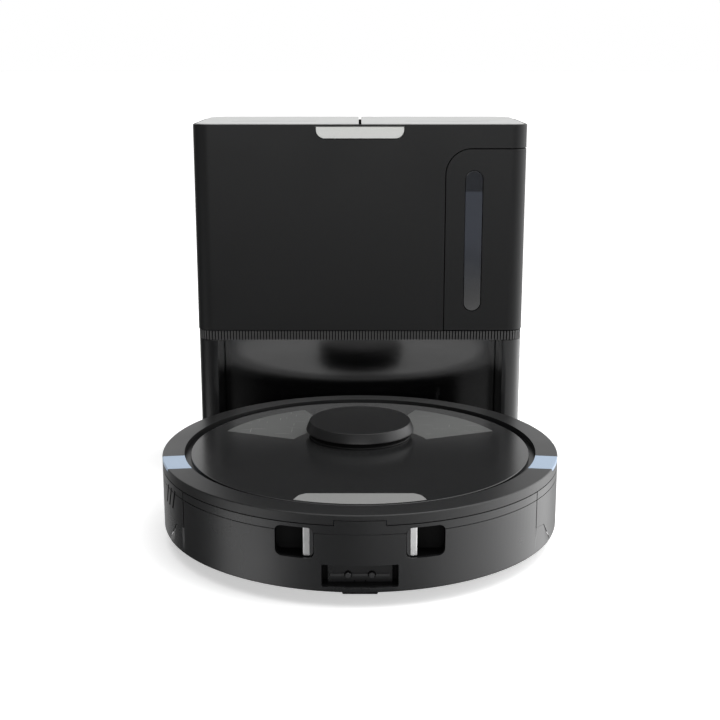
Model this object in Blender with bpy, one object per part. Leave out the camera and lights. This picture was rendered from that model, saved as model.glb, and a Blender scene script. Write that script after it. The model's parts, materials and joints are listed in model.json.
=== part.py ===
"""Robot vacuum on its self-emptying dock: metres, +Z up, floor at z = 0, the robot's front towards -Y.

The robot sits under the empty robot_frame and the dock under dock_frame. Inside each, shapes are drawn in
that frame's own coordinates, and a moving piece then gets its origin on the axis that it moves about.
"""

import math

import bmesh
import bpy
from mathutils import Matrix, Vector

# Overall placing
ROBOT_Y = -0.0575  # robot centre, which puts the middle of the whole object at y = 0
DOCK_FRONT_Y = 0.0795  # front face of the dock
GAP = 0.0003  # between pieces that touch
FAR = 0.3  # how far a cutter reaches where its end doesn't matter
LARGE = 64  # facets round the robot's body

# Robot body
ROBOT_R = 0.170
SHELL_WALL = 0.0028
SHELL_INNER_R = ROBOT_R - SHELL_WALL
BUMPER_BOTTOM = 0.0122
BUMPER_TOP = 0.0652
TAB_TOP = 0.0692
TAB_HALF = 0.0193
SEAM = 0.0005
BUMPER_TRAVEL = 0.0035
CHASSIS_Z = (0.0148, 0.0176)
CHASSIS_R = 0.1668
DECK_Z = 0.0659  # underside of the top ring
LEDGE_TOP = 0.0692
LID_Z = (0.0695, 0.0730)
LID_R = 0.1458
RING_INNER_R = 0.1512
RING_SURFACE = [(RING_INNER_R, 0.0747), (0.1693, 0.0739), (ROBOT_R, 0.0732)]
RING_SKIN = 0.0026
ACCENT_Y = (-0.0616, -0.0280)
ACCENT_DEPTH = 0.0012
BADGE_Y = -0.1190
BADGE_HALF = (0.0420, 0.0510)
INLAY_DEPTH = 0.0008

# Lidar turret
TURRET_Y = 0.038
TURRET_BASE_R = 0.0455
TURRET_BASE_TOP = 0.0748
TURRET_HOLE_R = 0.0392
CAP_TOP = 0.0870
CAP_RIM_Z = 0.0786
POST_R = 0.0014
POST_RING_R = 0.0405
POST_ANGLES = (27, 153, 207, 333)

# Bumper openings
WINDOW_X = (0.0345, 0.0643)
WINDOW_Z = (0.0380, 0.0624)
WINDOW_CORNER = 0.0050
BAY_HALF = 0.0290
BAY_Z = (0.0162, 0.0341)

# Running gear
WHEEL_X = 0.116
WHEEL_R = 0.031
WHEEL_WIDTH = 0.018
HUB_R = 0.0262
ARM_PIVOT = (-0.042, 0.040)
ARM_X = (0.0920, 0.1045)
CASTER_Y = -0.115
CASTER_WHEEL_R = 0.0115
CASTER_TRAIL = 0.004
BRUSH_Y = 0.010
BRUSH_Z = 0.0245
BRUSH_R = 0.0225
BRUSH_HALF = 0.082
SIDE_BRUSH = (0.098, -0.088)
FAN = (-0.100, -0.088)

# Dustbin
BIN_HALF = 0.083
BIN_Y = 0.052
BIN_Z = (0.0150, 0.0570)
BIN_WALL = 0.002

# Dock
DOCK_HALF = 0.1567
DOCK_DEPTH = 0.148
DOCK_CORNER_FRONT = 0.016
DOCK_CORNER_REAR = 0.026
DOCK_WALL = 0.0025
TRAY_FRONT = -0.034
TRAY_TOP = 0.0100
LOWER_TOP = 0.1377
BAND_Z = (0.1380, 0.1465)
SHELL_Z = (0.1468, 0.3422)
COVER_Z = (0.3402, 0.3428)
COVER_INSET = 0.0030
COVER_REAR_INSET = 0.0012
COVER_SEAT_Y = 0.112  # behind this the walls are low and the covers lie on them
ALCOVE_HALF = 0.1373
ALCOVE_DEPTH = 0.065
CUP_X = 0.0806
CUP_DEPTH = 0.1098
CUP_Z = (0.1471, 0.3198)
CUP_CORNER = 0.024
SLOT_X = (0.0985, 0.1155)
SLOT_Z = (0.1660, 0.3000)
TAB_X = 0.041
TAB_Z = (0.3295, 0.3402)
TAB_CORNER = 0.008
PORT_HALF = 0.030
PORT_Y = (-0.012, 0.006)
CONTACT_X = (0.0900, 0.1000)
CONTACT_Y = (-0.0290, -0.0170)
CONTACT_Z = (0.0060, 0.0145)

# Finishes: colour, roughness, metallic
SATIN_BLACK = ((0.020, 0.020, 0.021), 0.42, 0.0)
GLOSS_BLACK = ((0.012, 0.012, 0.013), 0.10, 0.0)
INNER_BLACK = ((0.015, 0.015, 0.015), 0.60, 0.0)
LIGHT_GREY = ((0.62, 0.62, 0.61), 0.38, 0.0)
ICE_BLUE = ((0.42, 0.52, 0.66), 0.35, 0.0)
SMOKE = ((0.06, 0.065, 0.075), 0.08, 0.0)
GREY_PLASTIC = ((0.22, 0.22, 0.22), 0.50, 0.0)
RUBBER_BLACK = ((0.018, 0.018, 0.018), 0.75, 0.0)
STEEL = ((0.60, 0.60, 0.60), 0.30, 1.0)
BRASS = ((0.75, 0.58, 0.25), 0.30, 1.0)
BOARD_GREEN = ((0.02, 0.12, 0.05), 0.45, 0.0)
FILTER_WHITE = ((0.80, 0.80, 0.78), 0.85, 0.0)
BRISTLE = ((0.10, 0.16, 0.22), 0.70, 0.0)
BATTERY_BLUE = ((0.05, 0.10, 0.28), 0.45, 0.0)


# ---------------------------------------------------------------- scene and objects


def clear_scene():
    for obj in list(bpy.data.objects):
        bpy.data.objects.remove(obj, do_unlink=True)


def make_empty(name, location):
    empty = bpy.data.objects.new(name, None)
    empty.location = location
    bpy.context.scene.collection.objects.link(empty)
    return empty


def make_material(name, finish):
    colour, roughness, metallic = finish
    material = bpy.data.materials.new(name + "_finish")
    material.use_nodes = True
    shader = material.node_tree.nodes["Principled BSDF"]
    shader.inputs["Base Color"].default_value = (*colour, 1.0)
    shader.inputs["Roughness"].default_value = roughness
    shader.inputs["Metallic"].default_value = metallic
    return material


def link_object(name, bm, parent, origin):
    """Makes a mesh object from a shape drawn in the parent's frame, with its own origin at origin."""
    bmesh.ops.remove_doubles(bm, verts=bm.verts, dist=1e-6)
    bmesh.ops.recalc_face_normals(bm, faces=bm.faces)
    bmesh.ops.translate(bm, verts=bm.verts, vec=-Vector(origin))
    mesh = bpy.data.meshes.new(name)
    bm.to_mesh(mesh)
    bm.free()
    obj = bpy.data.objects.new(name, mesh)
    obj.location = origin
    obj.parent = parent
    bpy.context.scene.collection.objects.link(obj)
    return obj


def add_piece(name, bm, parent, finish, origin=(0, 0, 0)):
    obj = link_object(name, bm, parent, origin)
    obj.data.materials.append(make_material(name, finish))
    obj.data.shade_smooth()
    obj.data.set_sharp_from_angle(angle=math.radians(32))
    return obj


def add_helper(name, bm, parent):
    helper = link_object(name, bm, parent, (0, 0, 0))
    helper.hide_render = True
    helper.display_type = "WIRE"
    return helper


def combine(obj, bm, operation="DIFFERENCE"):
    """Adds a live Boolean between obj and a helper drawn in the same frame."""
    count = len(obj.modifiers) + 1
    helper = add_helper(f"{obj.name}_helper_{count}", bm, obj.parent)
    boolean = obj.modifiers.new(f"boolean_{count}", "BOOLEAN")
    boolean.object = helper
    boolean.operation = operation
    boolean.solver = "EXACT"
    return helper


# ---------------------------------------------------------------- basic shapes


def box(low, high):
    bm = bmesh.new()
    size = Vector(high) - Vector(low)
    middle = (Vector(high) + Vector(low)) / 2
    bmesh.ops.create_cube(bm, size=1.0, matrix=Matrix.Translation(middle) @ Matrix.Diagonal((*size, 1.0)))
    return bm


def rod(radius, low, high, centre=(0, 0), segments=24, axis="Z"):
    """A cylinder from low to high along its axis; centre is in the two other coordinates, in x, y, z order."""
    bm = bmesh.new()
    bmesh.ops.create_cone(bm, cap_ends=True, segments=segments, radius1=radius, radius2=radius,
                          depth=high - low)
    if axis == "X":
        turn = Matrix.Rotation(math.pi / 2, 4, "Y")
        place = ((low + high) / 2, *centre)
    elif axis == "Y":
        turn = Matrix.Rotation(math.pi / 2, 4, "X")
        place = (centre[0], (low + high) / 2, centre[1])
    else:
        turn = Matrix.Identity(4)
        place = (*centre, (low + high) / 2)
    bmesh.ops.transform(bm, matrix=Matrix.Translation(place) @ turn, verts=bm.verts)
    return bm


def lathe(profile, segments, centre=(0, 0), closed=True):
    """Turns (radius, z) points about a vertical axis. An open profile starts and ends on the axis."""
    bm = bmesh.new()
    verts = [bm.verts.new((radius, 0, z)) for radius, z in profile]
    pairs = list(zip(verts, verts[1:]))
    if closed:
        pairs.append((verts[-1], verts[0]))
    edges = [bm.edges.new(pair) for pair in pairs]
    bmesh.ops.spin(
        bm, geom=verts + edges, cent=(0, 0, 0), axis=(0, 0, 1), angle=math.tau, steps=segments,
        use_merge=True
    )
    bmesh.ops.remove_doubles(bm, verts=bm.verts, dist=1e-6)
    bmesh.ops.translate(bm, verts=bm.verts, vec=(*centre, 0))
    return bm


def turned_about_x(bm, y, z):
    """Lays a shape that was turned about the vertical axis along X, through (y, z)."""
    bmesh.ops.rotate(bm, verts=bm.verts, cent=(0, 0, 0), matrix=Matrix.Rotation(math.pi / 2, 3, "Y"))
    bmesh.ops.translate(bm, verts=bm.verts, vec=(0, y, z))
    return bm


def extrude_outline(points, low, high, axis="Z"):
    """A prism of an outline: (x, y) along Z, (x, z) along Y or (y, z) along X."""
    place = {
        "Z": lambda a, b: (a, b, low),
        "Y": lambda a, b: (a, low, b),
        "X": lambda a, b: (low, a, b),
    }[axis]
    step = {"Z": (0, 0, 1), "Y": (0, 1, 0), "X": (1, 0, 0)}[axis]
    bm = bmesh.new()
    face = bm.faces.new([bm.verts.new(place(a, b)) for a, b in points])
    made = bmesh.ops.extrude_face_region(bm, geom=[face])
    moved = [item for item in made["geom"] if isinstance(item, bmesh.types.BMVert)]
    bmesh.ops.translate(bm, verts=moved, vec=Vector(step) * (high - low))
    return bm


def arc(centre, radius, start, end, steps):
    """Points on an arc from angle start to end, in degrees, both ends included."""
    angles = [math.radians(start + (end - start) * i / steps) for i in range(steps + 1)]
    return [(centre[0] + radius * math.cos(a), centre[1] + radius * math.sin(a)) for a in angles]


def rounded_rectangle(low, high, radii, steps=4):
    """An outline with one radius per corner: low-low, high-low, high-high, low-high."""
    corners = [(low[0], low[1], 1, 1, 180), (high[0], low[1], -1, 1, 270)]
    corners += [(high[0], high[1], -1, -1, 0), (low[0], high[1], 1, -1, 90)]
    points = []
    for (a, b, side_a, side_b, start), radius in zip(corners, radii):
        if radius == 0:
            points.append((a, b))
        else:
            points += arc((a + side_a * radius, b + side_b * radius), radius, start, start + 90, steps)
    return points


def parallel(points, distance):
    """The polyline moved sideways by distance, to the right of its direction, with sharp corners."""
    runs = [(Vector(b) - Vector(a)).normalized() for a, b in zip(points, points[1:])]
    moved = []
    for point, before, after in zip(points, runs[:1] + runs, runs + runs[-1:]):
        reach = distance / (1 + before.dot(after))
        along = before + after
        moved.append((point[0] + along.y * reach, point[1] - along.x * reach))
    return moved


def mirrored(bm, side):
    """The shape as drawn for the +X side, or its mirror image."""
    if side < 0:
        bmesh.ops.scale(bm, vec=(-1, 1, 1), verts=bm.verts)
    return bm


def sides():
    return (("left", -1), ("right", 1))


# ---------------------------------------------------------------- robot shells


def ring_profile():
    """The ring in section: a flat crown, its outer wall, a hollow below and the ledge that holds the lid."""
    hollow = (RING_INNER_R + RING_SKIN, SHELL_INNER_R + GAP)
    outside = RING_SURFACE + [(ROBOT_R, DECK_Z)]
    inside = [(hollow[1], DECK_Z), (hollow[1], 0.0739 - RING_SKIN), (hollow[0], 0.0745 - RING_SKIN)]
    ledge = [(hollow[0], DECK_Z), (0.1360, DECK_Z), (0.1360, LEDGE_TOP), (RING_INNER_R, LEDGE_TOP)]
    return outside + inside + ledge


def accent_band(above, below, grow):
    """A turned skin that follows the ring's surface from inside to outside, both edges out by grow."""
    ends = ((RING_INNER_R, 0.0712 - grow), (ROBOT_R, 0.0716 - grow))
    crown = [ends[0], *RING_SURFACE, ends[1]]
    under = [ends[0], RING_SURFACE[0], (ROBOT_R, RING_SURFACE[1][1]), ends[1]]
    return lathe(parallel(crown, -above) + parallel(under, below)[::-1], LARGE)


def build_top_ring(robot):
    ring = add_piece("top_ring", lathe(ring_profile(), LARGE), robot, SATIN_BLACK)
    notch = TAB_HALF + SEAM
    combine(ring,
            box((-notch, -FAR, 0.060), (notch, -SHELL_INNER_R + BUMPER_TRAVEL + 0.0012, TAB_TOP + SEAM)))
    for _, side in sides():
        pocket = add_helper(f"accent_pocket_{side}", accent_band(0.004, ACCENT_DEPTH + GAP, GAP), robot)
        wedge = box((0.10, ACCENT_Y[0] - GAP, 0), (FAR, ACCENT_Y[1] + GAP, 0.1))
        combine(pocket, mirrored(wedge, side), "INTERSECT")
        cut = ring.modifiers.new("accent_pocket", "BOOLEAN")
        cut.object = pocket
        cut.operation = "DIFFERENCE"


def build_accents(robot):
    for word, side in sides():
        accent = add_piece(f"accent_{word}", accent_band(0.0, ACCENT_DEPTH, 0.0), robot, ICE_BLUE)
        wedge = box((0.10, ACCENT_Y[0], 0), (FAR, ACCENT_Y[1], 0.1))
        combine(accent, mirrored(wedge, side), "INTERSECT")


def bumper_end(grow, top):
    """The bumper's right end seen from the front, bottom to top: (x, z) points, moved outwards by grow."""
    points = [(0.1570, 0.0), (0.1570, 0.0150), (0.1553, 0.0185), (0.1494, 0.0330), (0.1414, 0.0350),
              (0.1414, top)]
    return [(x + grow, z) for x, z in points]


def both_halves(points):
    return points + [(-x, z) for x, z in points[::-1]]


def window_outline(grow):
    low = (WINDOW_X[0] - grow, WINDOW_Z[0] - grow)
    high = (WINDOW_X[1] + grow, WINDOW_Z[1] + grow)
    return rounded_rectangle(low, high, [WINDOW_CORNER] * 4, 3)


def build_bumper(robot):
    """The front wall. Its ends are cut straight back along Y, so they slide past the side shell."""
    wall = [(SHELL_INNER_R, BUMPER_BOTTOM), (ROBOT_R, BUMPER_BOTTOM), (ROBOT_R, TAB_TOP),
            (SHELL_INNER_R, TAB_TOP)]
    bumper = add_piece("bumper", lathe(wall, LARGE), robot, SATIN_BLACK)
    outline = both_halves(bumper_end(0.0, BUMPER_TOP) + [(TAB_HALF, BUMPER_TOP), (TAB_HALF, TAB_TOP)])
    combine(bumper, extrude_outline(outline, -FAR, -0.03, "Y"), "INTERSECT")
    for _, side in sides():
        combine(bumper, mirrored(extrude_outline(window_outline(0.0), -FAR, -0.10, "Y"), side))
    combine(bumper, box((-BAY_HALF, -FAR, BAY_Z[0]), (BAY_HALF, -0.10, BAY_Z[1])))


def build_sensor_pockets(robot):
    wall = 0.0010
    for word, side in sides():
        low = (WINDOW_X[0] - wall, -0.1720, WINDOW_Z[0] - wall)
        tub = mirrored(box(low, (WINDOW_X[1] + wall, -0.1420, WINDOW_Z[1] + wall)), side)
        pocket = add_piece(f"sensor_pocket_{word}", tub, robot, INNER_BLACK)
        combine(pocket, rod(SHELL_INNER_R - GAP, 0.0, 0.1, segments=LARGE), "INTERSECT")
        combine(pocket, mirrored(extrude_outline(window_outline(0.0), -FAR, -0.1432, "Y"), side))


def build_front_bay(robot):
    """The recess low in the bumper: a tub with a raised plate, a bar, two pegs and a tab below."""
    back, floor = -0.1500, -0.1535
    tub = box((-BAY_HALF - 0.0008, -0.1720, BAY_Z[0] - 0.0018),
              (BAY_HALF + 0.0008, back, BAY_Z[1] + 0.0008))
    bay = add_piece("front_bay", tub, robot, INNER_BLACK)
    combine(bay, rod(SHELL_INNER_R - GAP, 0.0, 0.1, segments=LARGE), "INTERSECT")
    combine(bay, box((-BAY_HALF + 0.0005, -FAR, BAY_Z[0] + 0.0005),
                     (BAY_HALF - 0.0005, floor, BAY_Z[1] - 0.0005)))
    combine(bay, box((-0.0245, -0.1585, BAY_Z[0] - 0.0005), (0.0245, back - 0.001, BAY_Z[1] - 0.0030)),
            "UNION")
    combine(bay, box((-0.0225, -0.1597, 0.0217), (0.0225, back - 0.001, 0.0234)), "UNION")
    for x in (-0.009, 0.009):
        combine(bay, rod(0.0019, -0.1608, back - 0.001, (x, 0.0234), 12, "Y"), "UNION")
    lip = [(-0.0160, BAY_Z[0]), (-0.0130, 0.0094), (0.0130, 0.0094), (0.0160, BAY_Z[0])]
    combine(bay, extrude_outline(lip, -0.1655, back, "Y"), "UNION")


def build_side_shell(robot):
    """The fixed wall from one end of the bumper round the rear to the other, vents and bin opening in it."""
    bottom = BUMPER_BOTTOM + GAP
    wall = [(SHELL_INNER_R, bottom), (ROBOT_R, bottom), (ROBOT_R, BUMPER_TOP), (SHELL_INNER_R, BUMPER_TOP)]
    shell = add_piece("side_shell", lathe(wall, LARGE), robot, SATIN_BLACK)
    combine(shell, extrude_outline(both_halves(bumper_end(SEAM, 0.08)), -FAR, 0.0, "Y"))
    combine(shell, box((-BIN_HALF - 0.0006, 0.10, 0.0), (BIN_HALF + 0.0006, FAR, 0.0602)))
    for _, side in sides():
        combine(shell, mirrored(box((0.0880, 0.0500, 0.0), (0.1020, FAR, 0.0150)), side))
    for angle in (20.8, 23.8, 26.8):
        slot = [(0.0020, 0.0440), (0.0052, 0.0440), (-0.0020, 0.0610), (-0.0052, 0.0610)]
        bm = extrude_outline(slot, 0.16, 0.18, "Y")
        turn = Matrix.Rotation(math.radians(90 + angle), 3, "Z")
        bmesh.ops.rotate(bm, verts=bm.verts, cent=(0, 0, 0), matrix=turn)
        combine(shell, bm)


def build_lid(robot):
    low, high = LID_Z
    disc = [(0, low), (LID_R, low), (LID_R, high - 0.0006), (LID_R - 0.0008, high), (0, high)]
    lid = add_piece("lid", lathe(disc, LARGE, closed=False), robot, GLOSS_BLACK)
    combine(lid, rod(TURRET_HOLE_R, 0.0, 0.1, (0, TURRET_Y), 48))
    combine(lid, extrude_outline(badge_outline(GAP), LID_Z[1] - INLAY_DEPTH, 0.1))


def badge_outline(grow):
    """A half moon: straight rear edge, rounded shoulders and a front edge that follows the lid's rim."""
    rim = LID_R - 0.0032 + grow
    edge_y = BADGE_Y + grow
    start = math.degrees(math.atan2(-0.1325, BADGE_HALF[1]))
    front = arc((0, 0), rim, 180 - start, 360 + start, 16)
    shoulder = [(BADGE_HALF[0] + 0.0055 + grow, BADGE_Y - 0.0045), (BADGE_HALF[0] + grow, edge_y)]
    return front + shoulder + [(-x, y) for x, y in shoulder[::-1]]


def build_badge(robot):
    add_piece("badge", extrude_outline(badge_outline(0.0), LID_Z[1] - INLAY_DEPTH + GAP, LID_Z[1] + 0.0002),
              robot, LIGHT_GREY)


# ---------------------------------------------------------------- lidar turret


def build_turret(robot):
    centre = (0, TURRET_Y)
    top, base = TURRET_BASE_TOP, LID_Z[1] + GAP
    spigot = TURRET_HOLE_R - 0.0005
    disc = [(0.0062, top), (TURRET_BASE_R, top), (TURRET_BASE_R, base), (spigot, base), (spigot, 0.0605)]
    disc += [(spigot - 0.002, 0.0605), (spigot - 0.002, base - 0.001), (0.0062, base - 0.001)]
    turret = add_piece("turret_base", lathe(disc, 28, centre), robot, INNER_BLACK)
    for angle in POST_ANGLES:
        x = POST_RING_R * math.cos(math.radians(angle))
        y = TURRET_Y + POST_RING_R * math.sin(math.radians(angle))
        combine(turret, rod(POST_R, top - 0.001, CAP_TOP - 0.0019, (x, y), 10), "UNION")
    outer = [(0, CAP_TOP), (0.0446, CAP_TOP), (0.0453, CAP_TOP - 0.0006), (0.0480, 0.0800)]
    outer += [(0.0482, CAP_RIM_Z)]
    inner = [(0.0464, CAP_RIM_Z), (0.0462, 0.0800), (0.0437, CAP_TOP - 0.0016), (0, CAP_TOP - 0.0016)]
    add_piece("turret_cap", lathe(outer + inner, 48, centre, closed=False), robot, SATIN_BLACK)
    head = [(0, 0.0640), (0.0055, 0.0640), (0.0055, 0.0753), (0.0375, 0.0753), (0.0375, 0.0775),
            (0.0345, 0.0785)]
    head += [(0.0345, 0.0825), (0.0365, 0.0835), (0.0365, 0.0848), (0, 0.0848)]
    add_piece("lidar_rotor", lathe(head, 24, centre, closed=False), robot, GLOSS_BLACK, (*centre, 0.0800))


# ---------------------------------------------------------------- chassis and running gear


def build_chassis(robot):
    plate = add_piece("chassis_base", rod(CHASSIS_R, *CHASSIS_Z, segments=LARGE), robot, INNER_BLACK)
    combine(plate, rod(CHASSIS_R, 0.0, 0.1, (0, BUMPER_TRAVEL + 0.0010), LARGE), "INTERSECT")
    for _, side in sides():
        combine(plate, mirrored(box((0.0880, -0.0500, 0), (0.1290, 0.0370, 0.1)), side))
    combine(plate, box((-0.0855, -0.0150, 0), (0.0855, 0.0350, 0.1)))
    combine(plate, box((-BIN_HALF - 0.0006, BIN_Y - 0.0006, 0), (BIN_HALF + 0.0006, FAR, 0.1)))
    combine(plate, box((-0.0330, -FAR, 0), (0.0330, -0.1448, 0.1)))
    combine(plate, rod(0.0192, 0, 0.1, (0, CASTER_Y), 32))
    combine(plate, rod(0.0070, 0, 0.1, SIDE_BRUSH, 24))


def build_caster(robot):
    socket = [(0.0192, 0.0179), (0.0215, 0.0179), (0.0215, 0.0335), (0.0044, 0.0335), (0.0044, 0.0315)]
    socket += [(0.0192, 0.0315)]
    add_piece("caster_socket", lathe(socket, 24, (0, CASTER_Y)), robot, INNER_BLACK)
    pivot = (0, CASTER_Y, 0.0300)
    disc = [(0, 0.0255), (0.0175, 0.0255), (0.0175, 0.0285), (0.0060, 0.0285), (0.0040, 0.0312),
            (0.0040, 0.0400)]
    disc += [(0, 0.0400)]
    fork = add_piece("caster_fork", lathe(disc, 20, (0, CASTER_Y), closed=False), robot, GREY_PLASTIC,
                     pivot)
    axle_y, axle_z = CASTER_Y + CASTER_TRAIL, CASTER_WHEEL_R
    for side in (-1, 1):
        cheek = extrude_outline(cheek_outline(axle_y, axle_z), 0.0070, 0.0092, "X")
        combine(fork, mirrored(cheek, side), "UNION")
    combine(fork, rod(0.0018, -0.02, 0.02, (axle_y, axle_z), 12, "X"))
    wheel = [(0, -0.0088), (0.0015, -0.0088), (0.0015, -0.0060), (0.0095, -0.0060),
             (CASTER_WHEEL_R, -0.0040)]
    wheel += [(r, -z) for r, z in wheel[::-1]]
    bm = turned_about_x(lathe(wheel, 20, closed=False), axle_y, axle_z)
    add_piece("caster_wheel", bm, robot, RUBBER_BLACK, (0, axle_y, axle_z))


def cheek_outline(axle_y, axle_z):
    low = arc((axle_y, axle_z), 0.0050, 180, 360, 6)
    return low + [(axle_y + 0.0050, 0.0260), (axle_y - 0.0110, 0.0260)]


def build_wheels(robot):
    for word, side in sides():
        x = WHEEL_X * side
        pivot_y, pivot_z = ARM_PIVOT
        outline = arc((pivot_y, pivot_z), 0.0080, 100, 260, 6) + arc((0, WHEEL_R), 0.0160, -100, 80, 8)
        arm_bm = mirrored(extrude_outline(outline, *ARM_X, "X"), side)
        arm = add_piece(f"wheel_arm_{word}", arm_bm, robot, GREY_PLASTIC,
                        (ARM_X[0] * side, pivot_y, pivot_z))
        combine(arm, mirrored(rod(0.0030, 0.0890, 0.1080, ARM_PIVOT, 16, "X"), side), "UNION")
        combine(arm, mirrored(rod(0.0040, 0.1000, 0.1220, (0, WHEEL_R), 20, "X"), side), "UNION")
        half = WHEEL_WIDTH / 2
        hub = [(0.0045, -half), (0.0080, -half), (0.0080, -0.0060), (0.0230, -0.0060), (0.0230, -half)]
        hub += [(HUB_R, -half), (HUB_R, half), (0.0230, half), (0.0230, 0.0055), (0.0080, 0.0055),
                (0.0080, half)]
        hub += [(0.0045, half)]
        bm = turned_about_x(lathe(hub, 20), 0, WHEEL_R)
        bmesh.ops.translate(bm, verts=bm.verts, vec=(x, 0, 0))
        add_piece(f"drive_hub_{word}", bm, robot, GREY_PLASTIC, (x, 0, WHEEL_R))
        inner = HUB_R + GAP
        tyre = [(inner, -half), (WHEEL_R - 0.001, -half), (WHEEL_R, -half + 0.001), (WHEEL_R, half - 0.001)]
        tyre += [(WHEEL_R - 0.001, half), (inner, half)]
        bm = turned_about_x(lathe(tyre, 30), 0, WHEEL_R)
        bmesh.ops.translate(bm, verts=bm.verts, vec=(x, 0, 0))
        add_piece(f"drive_tyre_{word}", bm, robot, RUBBER_BLACK, (x, 0, WHEEL_R))


def finned_section(fins, inner, outer, tip):
    """A star outline: straight fins of half-angle tip on a round core."""
    points = []
    for i in range(fins):
        middle = 360 * i / fins
        points += arc((0, 0), inner, middle - 180 / fins + 4, middle - tip * 1.6, 1)
        points += arc((0, 0), outer, middle - tip, middle + tip, 1)
        points += arc((0, 0), inner, middle + tip * 1.6, middle + 180 / fins - 4, 1)
    return points


def twisted_roller(section, length, twist, steps):
    """Sections about X joined into one roller. The twist runs out to the middle and back, as a chevron."""
    bm = bmesh.new()
    rows = []
    for i in range(steps + 1):
        share = i / steps
        angle = math.radians(twist) * abs(2 * share - 1)
        turn = Matrix.Rotation(angle, 2)
        x = -length / 2 + length * share
        rows.append([bm.verts.new((x, *(turn @ Vector(point)))) for point in section])
    for before, after in zip(rows, rows[1:]):
        for i in range(len(section)):
            j = (i + 1) % len(section)
            bm.faces.new((before[i], before[j], after[j], after[i]))
    bm.faces.new(rows[0])
    bm.faces.new(rows[-1])
    return bm


def build_brushes(robot):
    section = finned_section(6, 0.0125, BRUSH_R, 5)
    bm = twisted_roller(section, 2 * BRUSH_HALF, 50, 6)
    bmesh.ops.translate(bm, verts=bm.verts, vec=(0, BRUSH_Y, BRUSH_Z))
    brush = add_piece("main_brush", bm, robot, BRISTLE, (0, BRUSH_Y, BRUSH_Z))
    combine(brush, rod(0.0030, -0.0848, 0.0848, (BRUSH_Y, BRUSH_Z), 16, "X"), "UNION")
    tunnel = arc((BRUSH_Y, BRUSH_Z), 0.0260, -14, 194, 14) + arc((BRUSH_Y, BRUSH_Z), 0.0242, 194, -14, 14)
    housing = add_piece("brush_housing", extrude_outline(tunnel, -0.0850, 0.0850, "X"), robot, INNER_BLACK)
    combine(housing, box((-0.030, BRUSH_Y + 0.010, 0.0280), (0.030, BRUSH_Y + 0.040, 0.0400)))
    guard_bm = box((-0.0910, -0.0200, 0.0122), (0.0910, 0.0400, CHASSIS_Z[0] - GAP))
    guard = add_piece("brush_guard", guard_bm, robot, GREY_PLASTIC)
    combine(guard, box((-0.0835, -0.0140, 0), (0.0835, 0.0340, 0.1)))
    x, y = SIDE_BRUSH
    hub = [(0, 0.0075), (0.0090, 0.0075), (0.0100, 0.0095), (0.0060, 0.0135), (0.0030, 0.0135),
           (0.0030, 0.0200)]
    hub += [(0, 0.0200)]
    side_brush = add_piece("side_brush", lathe(hub, 16, (x, y), closed=False), robot, BRISTLE,
                           (x, y, 0.0100))
    for angle in (30, 150, 270):
        arm = extrude_outline([(0.006, -0.0016), (0.0345, -0.0030), (0.0345, 0.0030), (0.006, 0.0016)],
                              0.0060, 0.0090)
        bmesh.ops.rotate(arm, verts=arm.verts, cent=(0, 0, 0),
                         matrix=Matrix.Rotation(math.radians(angle), 3, "Z"))
        bmesh.ops.translate(arm, verts=arm.verts, vec=(x, y, 0))
        combine(side_brush, arm, "UNION")


def build_bumper_springs(robot):
    """Coil springs along Y, between the chassis and the inside of the bumper."""
    coil_r, wire_r, turns, length = 0.0032, 0.0004, 4, 0.0100
    upright = Matrix.Rotation(math.pi / 2, 4, "X")
    for word, side in sides():
        bm = bmesh.new()
        bmesh.ops.create_circle(bm, cap_ends=True, segments=5, radius=wire_r,
                                matrix=Matrix.Translation((coil_r, 0, 0)) @ upright)
        steps = turns * 8
        bmesh.ops.spin(bm, geom=bm.faces[:], cent=(0, 0, 0), axis=(0, 0, 1), angle=math.tau * turns,
                       steps=steps,
                       dvec=(0, 0, length / steps))
        bmesh.ops.rotate(bm, verts=bm.verts, cent=(0, 0, 0), matrix=Matrix.Rotation(math.pi / 2, 3, "X"))
        bmesh.ops.translate(bm, verts=bm.verts, vec=(0.100 * side, -0.1198, 0.0450))
        add_piece(f"bumper_spring_{word}", bm, robot, STEEL)


# ---------------------------------------------------------------- robot's inner pieces


def build_fan(robot):
    x, y = FAN
    wall = [(0.0200, 0.0205), (0.0220, 0.0205), (0.0220, 0.0500), (0.0200, 0.0500)]
    housing = add_piece("fan_housing", lathe(wall, 24, FAN), robot, GREY_PLASTIC)
    combine(housing, rod(0.0210, 0.0180, 0.0210, FAN, 24), "UNION")
    combine(housing, rod(0.0120, 0.0200, 0.0330, FAN, 16), "UNION")
    section = finned_section(9, 0.0090, 0.0185, 2.5)
    bm = twisted_roller(section, 0.0080, 0, 1)
    bmesh.ops.rotate(bm, verts=bm.verts, cent=(0, 0, 0), matrix=Matrix.Rotation(math.pi / 2, 3, "Y"))
    bmesh.ops.translate(bm, verts=bm.verts, vec=(x, y, 0.0415))
    add_piece("fan_impeller", bm, robot, STEEL, (x, y, 0.0415))


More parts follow.
